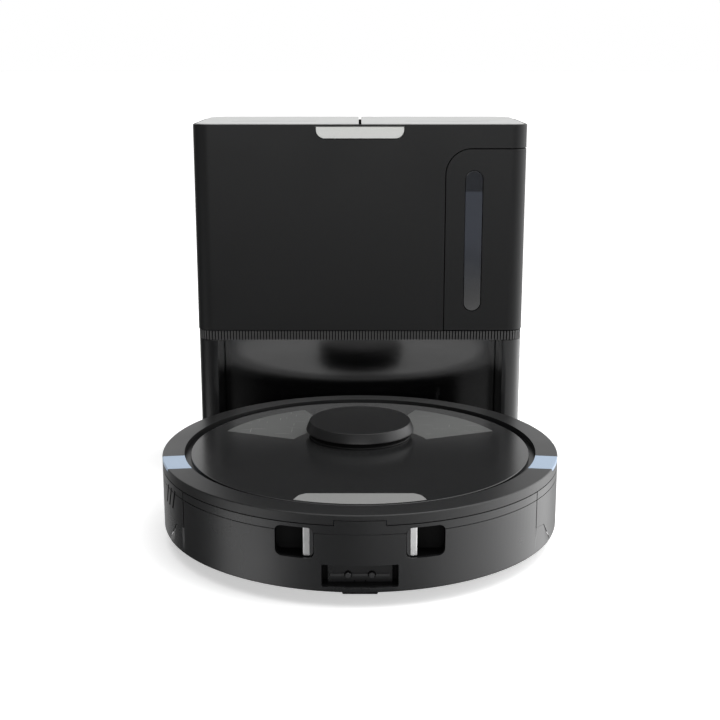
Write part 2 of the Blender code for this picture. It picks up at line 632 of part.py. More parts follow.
def build_dustbin(robot):
    half, wall = BIN_HALF, BIN_WALL
    tub = box((-half, BIN_Y, BIN_Z[0]), (half, 0.20, BIN_Z[1]))
    dustbin = add_piece("dustbin", tub, robot, INNER_BLACK, (0, BIN_Y, BIN_Z[0]))
    combine(dustbin, rod(ROBOT_R, 0.0, 0.1, segments=LARGE), "INTERSECT")
    hollow = extrude_outline(bin_hollow_outline(), BIN_Z[0] + wall, 0.1)
    combine(dustbin, hollow)
    combine(dustbin, box((-0.030, BIN_Y - 0.01, 0.0280), (0.030, BIN_Y + 0.01, 0.0400)))
    combine(dustbin, box((-0.0110, 0.150, 0.0390), (0.0110, 0.20, 0.0510)))
    lid = add_piece("bin_lid", box((-half, BIN_Y, 0.0573), (half, 0.20, 0.0595)), robot, INNER_BLACK)
    combine(lid, rod(ROBOT_R, 0.0, 0.1, segments=LARGE), "INTERSECT")
    folds = []
    count = 14
    for i in range(count + 1):
        folds.append((0.030 + 0.0480 * i / count, 0.0575 + (0.0040 if i % 2 else 0.0)))
    outline = folds + [(x, y + 0.0025) for x, y in folds[::-1]]
    add_piece("bin_filter", extrude_outline(outline, 0.0175, 0.0560), robot, FILTER_WHITE)
    button = add_piece("bin_button", box((-0.0105, 0.1620, 0.0395), (0.0105, 0.20, 0.0505)), robot,
                       GREY_PLASTIC,
                       (0, 0.168, 0.045))
    combine(button, rod(ROBOT_R, 0.0, 0.1, segments=LARGE), "INTERSECT")


def bin_hollow_outline():
    """The bin's inside seen from above: straight sides and a rear wall that follows the robot's rim."""
    half = BIN_HALF - BIN_WALL
    radius = ROBOT_R - BIN_WALL
    end = math.degrees(math.acos(half / radius))
    return [(-half, BIN_Y + BIN_WALL), (half, BIN_Y + BIN_WALL)] + arc((0, 0), radius, end, 180 - end, 12)


def build_robot_electrics(robot):
    battery = add_piece("battery_pack", box((-0.0700, -0.0880, 0.0179), (0.0700, -0.0350, 0.0480)), robot,
                        BATTERY_BLUE)
    bevel = battery.modifiers.new("edges", "BEVEL")
    bevel.width = 0.003
    bevel.segments = 2
    board = add_piece("main_board", box((-0.0750, -0.0880, 0.0520), (0.0750, -0.0200, 0.0536)), robot,
                      BOARD_GREEN)
    for low, high in (((-0.050, -0.075, 0.0530), (-0.030, -0.055, 0.0560)), ((0.010, -0.070, 0.0530),
                      (0.030, -0.050, 0.0550)), ((0.045, -0.060, 0.0530), (0.060, -0.040, 0.0600))):
        combine(board, box(low, high), "UNION")
    motor = [(0, 0.0400), (0.0070, 0.0400), (0.0070, 0.0760), (0.0030, 0.0775), (0.0030, 0.0830),
             (0, 0.0830)]
    bm = turned_about_x(lathe(motor, 16, closed=False), -0.0255, 0.0305)
    add_piece("brush_motor", bm, robot, STEEL)
    x, y = SIDE_BRUSH
    can = [(0.0034, 0.0182), (0.0120, 0.0182), (0.0120, 0.0440), (0.0034, 0.0440)]
    add_piece("side_brush_motor", lathe(can, 16, (x, y)), robot, STEEL)


# ---------------------------------------------------------------- dock


def dock_outline(inset, front=0.0):
    """The dock seen from above, moved in by inset."""
    radii = [DOCK_CORNER_FRONT - min(inset, 0.006)] * 2 + [DOCK_CORNER_REAR - inset] * 2
    low = (-DOCK_HALF + inset, front + inset)
    return rounded_rectangle(low, (DOCK_HALF - inset, DOCK_DEPTH - inset), radii, 5)


def build_tray(dock):
    outline = rounded_rectangle((-0.130, TRAY_FRONT), (0.130, 0.060), [0.030, 0.030, 0, 0], 5)
    tray = add_piece("dock_tray", extrude_outline(outline, 0.0, TRAY_TOP), dock, SATIN_BLACK)
    base = rounded_rectangle((-DOCK_HALF + 0.001, 0.0005), (DOCK_HALF - 0.001, DOCK_DEPTH - 0.001),
                             [0.015, 0.015, 0.025, 0.025], 4)
    combine(tray, extrude_outline(base, 0.0, 0.0060), "UNION")
    nose = extrude_outline([(TRAY_FRONT - 0.01, 0.0040), (TRAY_FRONT + 0.016, TRAY_TOP + 0.001),
                            (TRAY_FRONT - 0.01, TRAY_TOP + 0.001)], -0.2, 0.2, "X")
    combine(tray, nose)
    low, high = PORT_Y
    combine(tray, box((-PORT_HALF, low, 0.0015), (PORT_HALF, 0.0905, 0.0042)))
    combine(tray, box((-PORT_HALF, low, 0.0015), (PORT_HALF, high, 0.02)))
    combine(tray, box((-PORT_HALF, 0.0800, 0.0015), (PORT_HALF, 0.0905, 0.02)))
    for _, side in sides():
        low, high = CONTACT_X
        pocket = box((low - 0.001, CONTACT_Y[0] - 0.001, CONTACT_Z[0] - 0.002),
                     (high + 0.001, CONTACT_Y[1] + 0.001, 0.02))
        combine(tray, mirrored(pocket, side))


def build_evac_seal(dock):
    low, high = PORT_Y
    ring = box((-PORT_HALF - 0.0035, low - 0.0035, TRAY_TOP + GAP),
               (PORT_HALF + 0.0035, high + 0.0035, 0.0135))
    seal = add_piece("evac_seal", ring, dock, RUBBER_BLACK)
    combine(seal, box((-PORT_HALF, low, 0), (PORT_HALF, high, 0.1)))


def build_contacts(dock):
    """Sprung pads that meet the underside of the chassis."""
    for word, side in sides():
        low = (CONTACT_X[0], CONTACT_Y[0], CONTACT_Z[0])
        pad = mirrored(box(low, (CONTACT_X[1], CONTACT_Y[1], CONTACT_Z[1])), side)
        centre = (sum(CONTACT_X) / 2 * side, sum(CONTACT_Y) / 2, CONTACT_Z[0])
        contact = add_piece(f"charge_contact_{word}", pad, dock, BRASS, centre)
        bevel = contact.modifiers.new("edges", "BEVEL")
        bevel.width = 0.0012
        bevel.segments = 2


def build_lower_housing(dock):
    housing = add_piece("lower_housing", extrude_outline(dock_outline(0.0005), 0.0063, LOWER_TOP), dock,
                        SATIN_BLACK)
    combine(housing, box((-ALCOVE_HALF, -FAR, 0), (ALCOVE_HALF, ALCOVE_DEPTH, FAR)))
    back = rounded_rectangle((-DOCK_HALF + 0.003, ALCOVE_DEPTH + DOCK_WALL),
                             (DOCK_HALF - 0.003, DOCK_DEPTH - 0.003),
                             [0, 0, 0.023, 0.023], 4)
    combine(housing, extrude_outline(back, 0.0088, FAR))
    for _, side in sides():
        pillar = rounded_rectangle((ALCOVE_HALF + DOCK_WALL, 0.0035),
                                   (DOCK_HALF - 0.003, ALCOVE_DEPTH + 0.01), [0, 0.013, 0, 0], 4)
        combine(housing, mirrored(extrude_outline(pillar, 0.0088, FAR), side))
    combine(housing, box((-PORT_HALF - 0.001, 0.0760, 0), (PORT_HALF + 0.001, 0.0930, 0.0500)))
    combine(housing, box((0.0790, DOCK_DEPTH - 0.02, 0.0290), (0.1110, DOCK_DEPTH + 0.02, 0.0510)))


def build_alcove_panel(dock):
    low = (-ALCOVE_HALF + GAP, ALCOVE_DEPTH - 0.0025, TRAY_TOP + 0.0010)
    panel = box(low, (ALCOVE_HALF - GAP, ALCOVE_DEPTH - GAP, LOWER_TOP))
    add_piece("alcove_panel", panel, dock, GLOSS_BLACK)


def build_exhaust_band(dock):
    """The tray between lower and upper housing: a floor, and a low wall of ribs all the way round."""
    band = add_piece("exhaust_band", extrude_outline(dock_outline(0.0005), *BAND_Z), dock, SATIN_BLACK)
    combine(band, extrude_outline(dock_outline(0.0035), BAND_Z[0] + 0.0022, FAR))
    combine(band, rod(0.0170, 0, FAR, (0.045, 0.1180), 24))


def build_evac_duct(dock):
    """The riser that takes the dirt from the tray's channel up to the cup's bay."""
    centre = (0.045, 0.1180)
    tube = [(0.0138, 0.0700), (0.0160, 0.0700), (0.0160, 0.2900), (0.0138, 0.2900)]
    duct = add_piece("evac_duct", lathe(tube, 16, centre), dock, GREY_PLASTIC)
    low = box((-PORT_HALF, 0.0770, 0.0095), (0.0610, 0.1320, 0.0750))
    combine(duct, low, "UNION")
    combine(duct, rod(0.0134, 0.0650, 0.0900, centre, 16))
    combine(duct, box((-PORT_HALF + 0.002, 0.0790, 0.0), (0.0590, 0.1300, 0.0725)))


def cup_outline(grow):
    """The cup's front, (x, z), with one round upper corner; its right side runs past the dock's side."""
    low = (CUP_X - grow, CUP_Z[0] - grow)
    high = (DOCK_HALF + 0.02, CUP_Z[1] + grow)
    return rounded_rectangle(low, high, [0, 0, 0, CUP_CORNER + grow], 6)


def slot_outline(grow):
    radius = (SLOT_X[1] - SLOT_X[0]) / 2 + grow
    middle = (SLOT_X[0] + SLOT_X[1]) / 2
    half_length = (SLOT_Z[1] - SLOT_Z[0]) / 2 + grow - radius
    centre_z = (SLOT_Z[0] + SLOT_Z[1]) / 2
    return arc((middle, centre_z + half_length), radius, 0, 180, 8) + arc(
        (middle, centre_z - half_length), radius, 180, 360, 8)


def build_upper_shell(dock):
    shell = add_piece("upper_shell", extrude_outline(dock_outline(0.0), *SHELL_Z), dock, SATIN_BLACK)
    partition = CUP_X - 0.0008 - DOCK_WALL
    left = rounded_rectangle((-DOCK_HALF + DOCK_WALL, DOCK_WALL), (partition, DOCK_DEPTH - DOCK_WALL),
                             [0.0135, 0, 0, 0.0235], 4)
    combine(shell, extrude_outline(left, 0, FAR * 2))
    behind = CUP_DEPTH + 0.0008 + DOCK_WALL
    right = rounded_rectangle((partition - 0.01, behind), (DOCK_HALF - DOCK_WALL, DOCK_DEPTH - DOCK_WALL),
                              [0, 0, 0.0235, 0], 4)
    combine(shell, extrude_outline(right, 0, FAR * 2))
    combine(shell, extrude_outline(cup_outline(0.0008), -FAR, CUP_DEPTH + 0.0008, "Y"))
    over = rounded_rectangle((partition - 0.01, DOCK_WALL), (DOCK_HALF - DOCK_WALL, behind + 0.01),
                             [0, 0.0135, 0, 0], 4)
    combine(shell, extrude_outline(over, CUP_Z[1] + 0.0033, FAR * 2))
    combine(shell, extrude_outline(tab_outline(0.0006), -FAR, 0.010, "Y"))
    combine(shell, box((-FAR, COVER_SEAT_Y, COVER_Z[0] - GAP), (FAR, FAR, FAR * 2)))
    combine(shell, rod(0.0120, CUP_X - 0.02, CUP_X + 0.02, (0.0700, 0.2900), 20, "X"))


def tab_outline(grow):
    """The release tab's front, (x, z): square upper corners and round lower ones."""
    radius = TAB_CORNER + grow
    low = (-TAB_X - grow, TAB_Z[0] - grow)
    return rounded_rectangle(low, (TAB_X + grow, TAB_Z[1] + grow), [radius, radius, 0, 0], 4)


def build_release_tab(dock):
    add_piece("release_tab", extrude_outline(tab_outline(0.0), 0.0002, 0.0048, "Y"), dock, LIGHT_GREY,
              (0, 0.0002, (TAB_Z[0] + TAB_Z[1]) / 2))


def build_dust_cup(dock):
    """The cup fills the shell's right bay: the shell's own outer shape cut by the cup's front outline."""
    cup = add_piece("dust_cup", extrude_outline(dock_outline(0.0), *CUP_Z), dock, SATIN_BLACK,
                    (CUP_X, 0, CUP_Z[0]))
    combine(cup, extrude_outline(cup_outline(0.0), -0.01, CUP_DEPTH, "Y"), "INTERSECT")
    inside = rounded_rectangle((CUP_X + 0.0030, 0.0030), (DOCK_HALF - 0.0030, CUP_DEPTH - 0.0030),
                               [0, 0.0130, 0, 0], 4)
    combine(cup, extrude_outline(inside, CUP_Z[0] + 0.0030, 0.2930))
    combine(cup, box((CUP_X + 0.0260, 0.0150, 0.2900), (DOCK_HALF - 0.0100, CUP_DEPTH - 0.0120, FAR * 2)))
    combine(cup, extrude_outline(slot_outline(0.0), -0.01, 0.0100, "Y"))
    combine(cup, rod(0.0110, CUP_X - 0.02, CUP_X + 0.01, (0.0700, 0.2800), 20, "X"))
    add_piece("cup_window", extrude_outline(slot_outline(-GAP), 0.0006, 0.0028, "Y"), dock, SMOKE)
    lid_z = (CUP_Z[1] - 0.0060, CUP_Z[1])
    lid_bm = box((CUP_X + 0.0264, 0.0154, lid_z[0]), (DOCK_HALF - 0.0104, CUP_DEPTH - 0.0124, lid_z[1]))
    add_piece("cup_lid", lid_bm, dock, GREY_PLASTIC)
    cone = [(0, 0.1700), (0.0070, 0.1700), (0.0140, 0.2100), (0.0200, 0.2600), (0.0170, 0.2900),
            (0.0170, 0.3130)]
    cone += [(0, 0.3130)]
    add_piece("cyclone", lathe(cone, 18, (0.1258, 0.0550), closed=False), dock, GREY_PLASTIC)


def cover_outline():
    """Both covers seen from above: inside the walls in front and at the sides, over the wall at the rear."""
    front = COVER_INSET
    radii = [DOCK_CORNER_FRONT - front] * 2 + [DOCK_CORNER_REAR - front] * 2
    low = (-DOCK_HALF + front, front)
    return rounded_rectangle(low, (DOCK_HALF - front, DOCK_DEPTH - COVER_REAR_INSET), radii, 5)


def build_top_covers(dock):
    for word, side in sides():
        cover = add_piece(f"top_cover_{word}", extrude_outline(cover_outline(), *COVER_Z), dock, LIGHT_GREY,
                          (0, DOCK_DEPTH - COVER_REAR_INSET, COVER_Z[0]))
        combine(cover, mirrored(box((-0.2, -0.1, 0.3), (0.00125, 0.2, 0.4)), side))
        groove = [(0.0420 * side, 0.0500, COVER_Z[1] - 0.0006), (0.1250 * side, 0.0560, 0.36)]
        low = [min(a, b) for a, b in zip(*groove)]
        high = [max(a, b) for a, b in zip(*groove)]
        combine(cover, box(low, high))


def build_dock_inner(dock):
    motor_at = (-0.085, 0.074)
    can = [(0, 0.1500), (0.0420, 0.1500), (0.0420, 0.1950), (0.0300, 0.2020), (0.0300, 0.2080), (0, 0.2080)]
    add_piece("dock_motor", lathe(can, 28, motor_at, closed=False), dock, STEEL)
    section = finned_section(10, 0.0140, 0.0400, 2.5)
    bm = twisted_roller(section, 0.0140, 0, 1)
    bmesh.ops.rotate(bm, verts=bm.verts, cent=(0, 0, 0), matrix=Matrix.Rotation(math.pi / 2, 3, "Y"))
    bmesh.ops.translate(bm, verts=bm.verts, vec=(*motor_at, 0.2180))
    add_piece("dock_impeller", bm, dock, STEEL, (*motor_at, 0.2180))
    folds = []
    count = 20
    for i in range(count + 1):
        folds.append((-0.1400 + 0.1200 * i / count, 0.2990 + (0.0180 if i % 2 else 0.0)))
    outline = folds + [(x, z + 0.0060) for x, z in folds[::-1]]
    add_piece("hepa_filter", extrude_outline(outline, 0.0300, 0.1300, "Y"), dock, FILTER_WHITE)
    board = add_piece("power_board", box((-0.1300, 0.1000, 0.0300), (-0.0500, 0.1016, 0.1200)), dock,
                      BOARD_GREEN)
    combine(board, box((-0.1150, 0.1010, 0.0400), (-0.0850, 0.1280, 0.0700)), "UNION")
    combine(board, box((-0.0750, 0.1010, 0.0850), (-0.0600, 0.1150, 0.1050)), "UNION")
    inlet = add_piece("power_inlet", box((0.0795, 0.1270, 0.0295), (0.1105, DOCK_DEPTH - 0.0008, 0.0505)),
                      dock,
                      INNER_BLACK)
    combine(inlet, box((0.0835, 0.1330, 0.0335), (0.1065, 0.2, 0.0465)))
    for x in (0.0900, 0.1000):
        combine(inlet, rod(0.0012, 0.1300, 0.1430, (x, 0.0400), 10, "Y"), "UNION")


def main():
    clear_scene()
    robot = make_empty("robot_frame", (0, ROBOT_Y, 0))
    dock = make_empty("dock_frame", (0, DOCK_FRONT_Y, 0))
    for build in (build_top_ring, build_accents, build_bumper, build_sensor_pockets, build_front_bay,
                  build_side_shell, build_lid, build_badge, build_turret, build_chassis, build_caster,
                  build_wheels, build_brushes, build_bumper_springs, build_fan, build_dustbin,
                  build_robot_electrics):
        build(robot)
    for build in (build_tray, build_evac_seal, build_contacts, build_lower_housing, build_alcove_panel,
                  build_exhaust_band, build_evac_duct, build_upper_shell, build_release_tab, build_dust_cup,
                  build_top_covers, build_dock_inner):
        build(dock)


main()
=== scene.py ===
"""Visual model of a robot vacuum standing in its self-emptying dock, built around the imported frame."""

import json
import logging
import math
from dataclasses import dataclass, field
from enum import Enum
from typing import Callable, Iterable, Sequence

import bmesh
import bpy
from bpy.types import Material, NodeTree, Object
from mathutils import Matrix, Vector

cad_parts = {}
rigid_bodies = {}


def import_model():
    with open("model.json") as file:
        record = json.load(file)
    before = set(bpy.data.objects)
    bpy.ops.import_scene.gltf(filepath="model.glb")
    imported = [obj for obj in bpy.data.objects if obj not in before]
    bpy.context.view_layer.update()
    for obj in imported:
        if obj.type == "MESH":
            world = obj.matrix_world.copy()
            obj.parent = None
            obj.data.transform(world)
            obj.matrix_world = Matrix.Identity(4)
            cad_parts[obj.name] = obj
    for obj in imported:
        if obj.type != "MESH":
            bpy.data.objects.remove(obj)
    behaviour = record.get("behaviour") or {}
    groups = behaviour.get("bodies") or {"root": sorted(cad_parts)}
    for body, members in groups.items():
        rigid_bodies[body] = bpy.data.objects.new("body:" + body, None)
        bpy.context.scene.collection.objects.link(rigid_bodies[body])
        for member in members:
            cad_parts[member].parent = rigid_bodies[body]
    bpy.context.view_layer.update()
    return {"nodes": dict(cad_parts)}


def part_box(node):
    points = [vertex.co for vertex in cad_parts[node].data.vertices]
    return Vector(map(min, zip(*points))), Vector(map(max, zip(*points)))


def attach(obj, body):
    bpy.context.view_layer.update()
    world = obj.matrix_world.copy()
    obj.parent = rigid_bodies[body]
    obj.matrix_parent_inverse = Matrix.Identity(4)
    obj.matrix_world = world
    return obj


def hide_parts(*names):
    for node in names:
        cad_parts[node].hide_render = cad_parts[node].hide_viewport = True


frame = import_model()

Point = tuple[float, float]
LOG = logging.getLogger("robot_vacuum")
GAP = 0.0003  # between two pieces that touch
FAR = 0.3  # past the end of anything that is cut


class Boolean(Enum):
    """What a cutter does to a piece."""

    CUT = "DIFFERENCE"
    KEEP = "INTERSECT"
    JOIN = "UNION"


class Axis(Enum):
    """The direction that an outline is extruded along."""

    X = "X"
    Y = "Y"
    Z = "Z"


# ------------------------------------------------------------------ finishes


class Shader:
    """A small writer of material nodes around one Principled BSDF."""

    def __init__(self, name: str) -> None:
        """Start an empty material with a Principled BSDF and its output.

        Args:
            name: The material's name.
        """
        self.material: Material = bpy.data.materials.new(name)
        self.material.use_nodes = True
        self.tree: NodeTree = self.material.node_tree
        self.surface = self.tree.nodes["Principled BSDF"]
        self.place = self.tree.nodes.new("ShaderNodeTexCoord").outputs["Object"]

    def node(self, kind: str, **settings: object) -> bpy.types.Node:
        """Add a node and set its properties or its input values by name."""
        made = self.tree.nodes.new(kind)
        for key, value in settings.items():
            if hasattr(made, key):
                setattr(made, key, value)
            else:
                made.inputs[key.replace("_", " ")].default_value = value
        return made

    def link(self, source: bpy.types.NodeSocket, target: bpy.types.NodeSocket) -> None:
        """Join two sockets."""
        self.tree.links.new(source, target)

    def stretched(self, scale: Sequence[float], turn: Sequence[float] = (0, 0, 0)) -> bpy.types.NodeSocket:
        """Object coordinates scaled along each axis, for grain that runs one way."""
        mapping = self.node("ShaderNodeMapping")
        mapping.inputs["Scale"].default_value = tuple(scale)
        mapping.inputs["Rotation"].default_value = tuple(turn)
        self.link(self.place, mapping.inputs["Vector"])
        return mapping.outputs["Vector"]

    def noise(self, scale: float, detail: float = 2.0, place: bpy.types.NodeSocket | None = None,
              roughness: float = 0.5) -> bpy.types.NodeSocket:
        """A noise value from 0 to 1.

        Args:
            scale: Features per metre.
            detail: Octaves of finer noise.
            place: Where it is read, object coordinates if left out.
            roughness: How strong the finer octaves are.

        Returns:
            The noise's value socket.
        """
        made = self.node("ShaderNodeTexNoise", Scale=scale, Detail=detail, Roughness=roughness)
        self.link(place or self.place, made.inputs["Vector"])
        return made.outputs["Fac"]

    def ranged(self, value: bpy.types.NodeSocket, low: float, high: float, from_low: float = 0.3,
               from_high: float = 0.7) -> bpy.types.NodeSocket:
        """The value carried from one range to another, clamped."""
        made = self.node("ShaderNodeMapRange")
        made.inputs["From Min"].default_value = from_low
        made.inputs["From Max"].default_value = from_high
        made.inputs["To Min"].default_value = low
        made.inputs["To Max"].default_value = high
        self.link(value, made.inputs["Value"])
        return made.outputs["Result"]

    def blend(self, share: bpy.types.NodeSocket, first: Sequence[float], second: Sequence[float]
              ) -> bpy.types.NodeSocket:
        """A colour between two, by share."""
        made = self.node("ShaderNodeMix", data_type="RGBA")
        for socket in made.inputs:
            if socket.name == "A" and socket.type == "RGBA":
                socket.default_value = (*first, 1.0)
            if socket.name == "B" and socket.type == "RGBA":
                socket.default_value = (*second, 1.0)
        self.link(share, made.inputs["Factor"])
        return [socket for socket in made.outputs if socket.type == "RGBA"][0]

    def bump(self, height: bpy.types.NodeSocket, distance: float) -> bpy.types.NodeSocket:
        """A bumped normal. distance is what a height of 1 stands for, in metres."""
        made = self.node("ShaderNodeBump", Distance=distance)
        self.link(height, made.inputs["Height"])
        return made.outputs["Normal"]

    def set(self, **values: object) -> None:
        """Set uniform values on the shader's own sockets."""
        for key, value in values.items():
            self.surface.inputs[key.replace("_", " ")].default_value = value

    def feed(self, key: str, source: bpy.types.NodeSocket) -> None:
        """Link a socket into the shader's input of that name."""
        self.link(source, self.surface.inputs[key])


@dataclass(frozen=True)
class Finish:
    """A surface finish. Each kind writes its own nodes in write()."""

    slot: str
    name: str
    colour: tuple[float, float, float]

    def write(self, shader: Shader) -> None:
        """Write this finish's nodes."""
        raise NotImplementedError

    def material(self) -> Material:
        """The material, made once."""
        found = bpy.data.materials.get(self.name)
        if found is None:
            shader = Shader(self.name)
            self.write(shader)
            found = shader.material
        return found


@dataclass(frozen=True)
class MouldedPlastic(Finish):
    """Injection-moulded plastic with a fine spark-eroded grain and slightly uneven sheen."""

    roughness: float = 0.42
    spread: float = 0.05
    grain: float = 1500.0
    depth: float = 0.00002
    specular: float = 0.5
    coat: float = 0.0

    def write(self, shader: Shader) -> None:
        """Write grain, cloudy sheen and a faint change of colour."""
        cloud = shader.noise(11.0, 3.0)
        speck = shader.noise(self.grain, 2.0, roughness=0.6)
        light = tuple(min(1.0, value * 1.22 + 0.0006) for value in self.colour)
        shader.feed("Base Color", shader.blend(shader.ranged(speck, 0.0, 1.0), self.colour, light))
        low, high = self.roughness - self.spread, self.roughness + self.spread
        shader.feed("Roughness", shader.ranged(cloud, low, high))
        shader.feed("Normal", shader.bump(speck, self.depth))
        shader.set(Specular_IOR_Level=self.specular, Coat_Weight=self.coat, Coat_Roughness=0.12)


@dataclass(frozen=True)
class PolishedPlastic(Finish):
    """High-gloss plastic with the faint hairlines that wiping leaves, and a slow ripple of the mould."""

    roughness: float = 0.10
    ripple: float = 0.00003
    specular: float = 0.5

    def write(self, shader: Shader) -> None:
        """Write hairlines in two directions over a slow ripple."""
        along = shader.noise(1.0, 2.0, shader.stretched((24, 900, 300)))
        across = shader.noise(1.0, 2.0, shader.stretched((700, 30, 300), (0, 0, 0.6)))
        lines = shader.node("ShaderNodeMath", operation="MAXIMUM")
        shader.link(along, lines.inputs[0])
        shader.link(across, lines.inputs[1])
        share = shader.ranged(lines.outputs[0], 0.0, 1.0, 0.62, 0.82)
        shader.feed("Roughness", shader.ranged(share, self.roughness, self.roughness + 0.07, 0.0, 1.0))
        light = tuple(value * 1.10 + 0.0008 for value in self.colour)
        shader.feed("Base Color", shader.blend(share, self.colour, light))
        shader.feed("Normal", shader.bump(shader.noise(38.0, 1.0), self.ripple))
        shader.set(Specular_IOR_Level=self.specular)


@dataclass(frozen=True)
class PearlPlastic(Finish):
    """Satin plastic with fine mica, as on light trim."""

    roughness: float = 0.36
    sparkle: float = 0.10
    specular: float = 0.5

    def write(self, shader: Shader) -> None:
        """Write mica specks and a faint cloud."""
        speck = shader.noise(2600.0, 1.0)
        cloud = shader.noise(16.0, 2.0)
        light = tuple(min(1.0, value * (1 + self.sparkle) + 0.01) for value in self.colour)
        dark = tuple(value * (1 - self.sparkle / 2) for value in self.colour)
        shader.feed("Base Color", shader.blend(shader.ranged(speck, 0.0, 1.0, 0.35, 0.65), dark, light))
        shader.feed("Roughness", shader.ranged(cloud, self.roughness - 0.05, self.roughness + 0.05))
        shader.feed("Normal", shader.bump(speck, 0.00001))
        shader.set(Specular_IOR_Level=self.specular)


@dataclass(frozen=True)
class SmokedWindow(Finish):
    """Smoke-tinted clear plastic with a painted bluish glow that stands for the lit cup behind it, fading to
    the plain dark tint at the foot and at the top.
    """

    # Painted light: these heights and the pale tint set where the painted glow of the lit cup starts, is full
    # and stops.
    haze_low: float = 0.178
    haze_high: float = 0.236
    dark_from: float = 0.2795
    haze: tuple[float, float, float] = (0.036, 0.040, 0.050)

    def write(self, shader: Shader) -> None:
        """Write a tint that pales with height and stops short of the top: painted light that stands for the
        lit cup behind it.
        """
        split = shader.node("ShaderNodeSeparateXYZ")
        shader.link(shader.place, split.inputs["Vector"])
        height = shader.ranged(split.outputs["Z"], 0.0, 1.0, self.haze_low, self.haze_high)
        top = shader.ranged(split.outputs["Z"], 1.0, 0.25, self.dark_from, self.dark_from + 0.0015)
        share = shader.node("ShaderNodeMath", operation="MULTIPLY")
        shader.link(height, share.inputs[0])
        shader.link(top, share.inputs[1])
        # Painted light: the base colour turns to the pale tint where the cup behind would be lit.
        shader.feed("Base Color", shader.blend(share.outputs[0], self.colour, self.haze))
        shader.feed("Roughness", shader.ranged(shader.noise(60.0, 3.0), 0.05, 0.12))
        shader.set(Specular_IOR_Level=0.5, Coat_Weight=0.4, Coat_Roughness=0.03)


@dataclass(frozen=True)
class Rubber(Finish):
    """Matte rubber with a coarse bloom."""

    roughness: float = 0.72

    def write(self, shader: Shader) -> None:
        """Write pores and a dusty bloom."""
        pores = shader.noise(900.0, 3.0)
        bloom = shader.noise(45.0, 3.0)
        dusty = tuple(value * 1.8 + 0.006 for value in self.colour)
        shader.feed("Base Color", shader.blend(shader.ranged(bloom, 0.0, 1.0), self.colour, dusty))
        shader.feed("Roughness", shader.ranged(bloom, self.roughness, self.roughness + 0.16))
        shader.feed("Normal", shader.bump(pores, 0.00005))
        shader.set(Specular_IOR_Level=0.35)


@dataclass(frozen=True)
class BrushedMetal(Finish):
    """Metal with fine lines along X and a little tarnish."""

    roughness: float = 0.28
    lines: tuple[float, float, float] = (30.0, 2600.0, 2600.0)

    def write(self, shader: Shader) -> None:
        """Write brushed lines in roughness and height."""
        grain = shader.noise(1.0, 3.0, shader.stretched(self.lines))
        tarnish = shader.noise(70.0, 4.0)
        dull = tuple(value * 0.72 for value in self.colour)
        share = shader.ranged(tarnish, 0.0, 1.0, 0.45, 0.75)
        shader.feed("Base Color", shader.blend(share, self.colour, dull))
        shader.feed("Roughness", shader.ranged(grain, self.roughness - 0.08, self.roughness + 0.12))
        shader.feed("Normal", shader.bump(grain, 0.00002))
        shader.set(Metallic=1.0)


@dataclass(frozen=True)
class WovenFibre(Finish):
    """Filter paper or bristle: matte fibres with soft shadows between them."""

    roughness: float = 0.85
    scale: float = 1400.0

    def write(self, shader: Shader) -> None:
        """Write crossing fibres."""
        first = shader.noise(1.0, 2.0, shader.stretched((self.scale, self.scale * 0.12, self.scale)))
        second = shader.noise(1.0, 2.0, shader.stretched((self.scale * 0.12, self.scale, self.scale)))
        both = shader.node("ShaderNodeMath", operation="MULTIPLY")
        shader.link(first, both.inputs[0])
        shader.link(second, both.inputs[1])
        share = shader.ranged(both.outputs[0], 0.0, 1.0, 0.15, 0.40)
        dark = tuple(value * 0.72 for value in self.colour)
        shader.feed("Base Color", shader.blend(share, dark, self.colour))
        shader.feed("Roughness", shader.ranged(share, self.roughness + 0.1, self.roughness))
        shader.feed("Normal", shader.bump(both.outputs[0], 0.0002))
        shader.set(Specular_IOR_Level=0.3)


@dataclass(frozen=True)
class CircuitBoard(Finish):
    """Lacquered circuit board with a mesh of traces."""

    trace: tuple[float, float, float] = (0.05, 0.26, 0.10)

    def write(self, shader: Shader) -> None:
        """Write angular traces and pads."""
        cells = shader.node("ShaderNodeTexVoronoi", feature="DISTANCE_TO_EDGE", Scale=240.0)
        shader.link(shader.place, cells.inputs["Vector"])
        edge = shader.ranged(cells.outputs["Distance"], 1.0, 0.0, 0.02, 0.05)
        shader.feed("Base Color", shader.blend(edge, self.colour, self.trace))
        shader.feed("Roughness", shader.ranged(shader.noise(90.0), 0.25, 0.42))
        shader.feed("Normal", shader.bump(edge, 0.00004))
        shader.set(Specular_IOR_Level=0.5)


SATIN_BLACK = MouldedPlastic("satin_black", "satin_black_shell", (0.0085, 0.0087, 0.0092), 0.28, 0.03)
RING_BLACK = MouldedPlastic("satin_black", "satin_black_ring", (0.0085, 0.0087, 0.0090), 0.36, 0.03)
DOCK_BLACK = MouldedPlastic("satin_black", "satin_black_dock", (0.0065, 0.0067, 0.0070),
                            0.42, 0.05, specular=0.22)
RIB_BLACK = MouldedPlastic("satin_black", "satin_black_ribs", (0.042, 0.042, 0.042), 0.40, 0.05)
PILLAR_BLACK = MouldedPlastic("satin_black", "satin_black_pillar", (0.0050, 0.0052, 0.0055),
                              0.22, 0.03, specular=0.4)
CAP_BLACK = MouldedPlastic("satin_black", "satin_black_cap", (0.0085, 0.0085, 0.0088),
                           0.42, 0.04, specular=0.35)
GLASS_RED = PolishedPlastic("gloss_black", "gloss_dark_lens", (0.030, 0.004, 0.006), 0.05)
LID_BLACK = PolishedPlastic("gloss_black", "gloss_black_lid", (0.0150, 0.0152, 0.0155), 0.20)
SHEEN_BLACK = PolishedPlastic("gloss_black", "gloss_grey_sector", (0.115, 0.118, 0.115), 0.24)
PANEL_BLACK = PolishedPlastic("gloss_black", "gloss_black_panel", (0.0020, 0.0020, 0.0022),
                              0.14, specular=1.0)
INNER_BLACK = MouldedPlastic("inner_black", "matte_black_inner", (0.0070, 0.0070, 0.0072),
                             0.55, 0.06, specular=0.3)
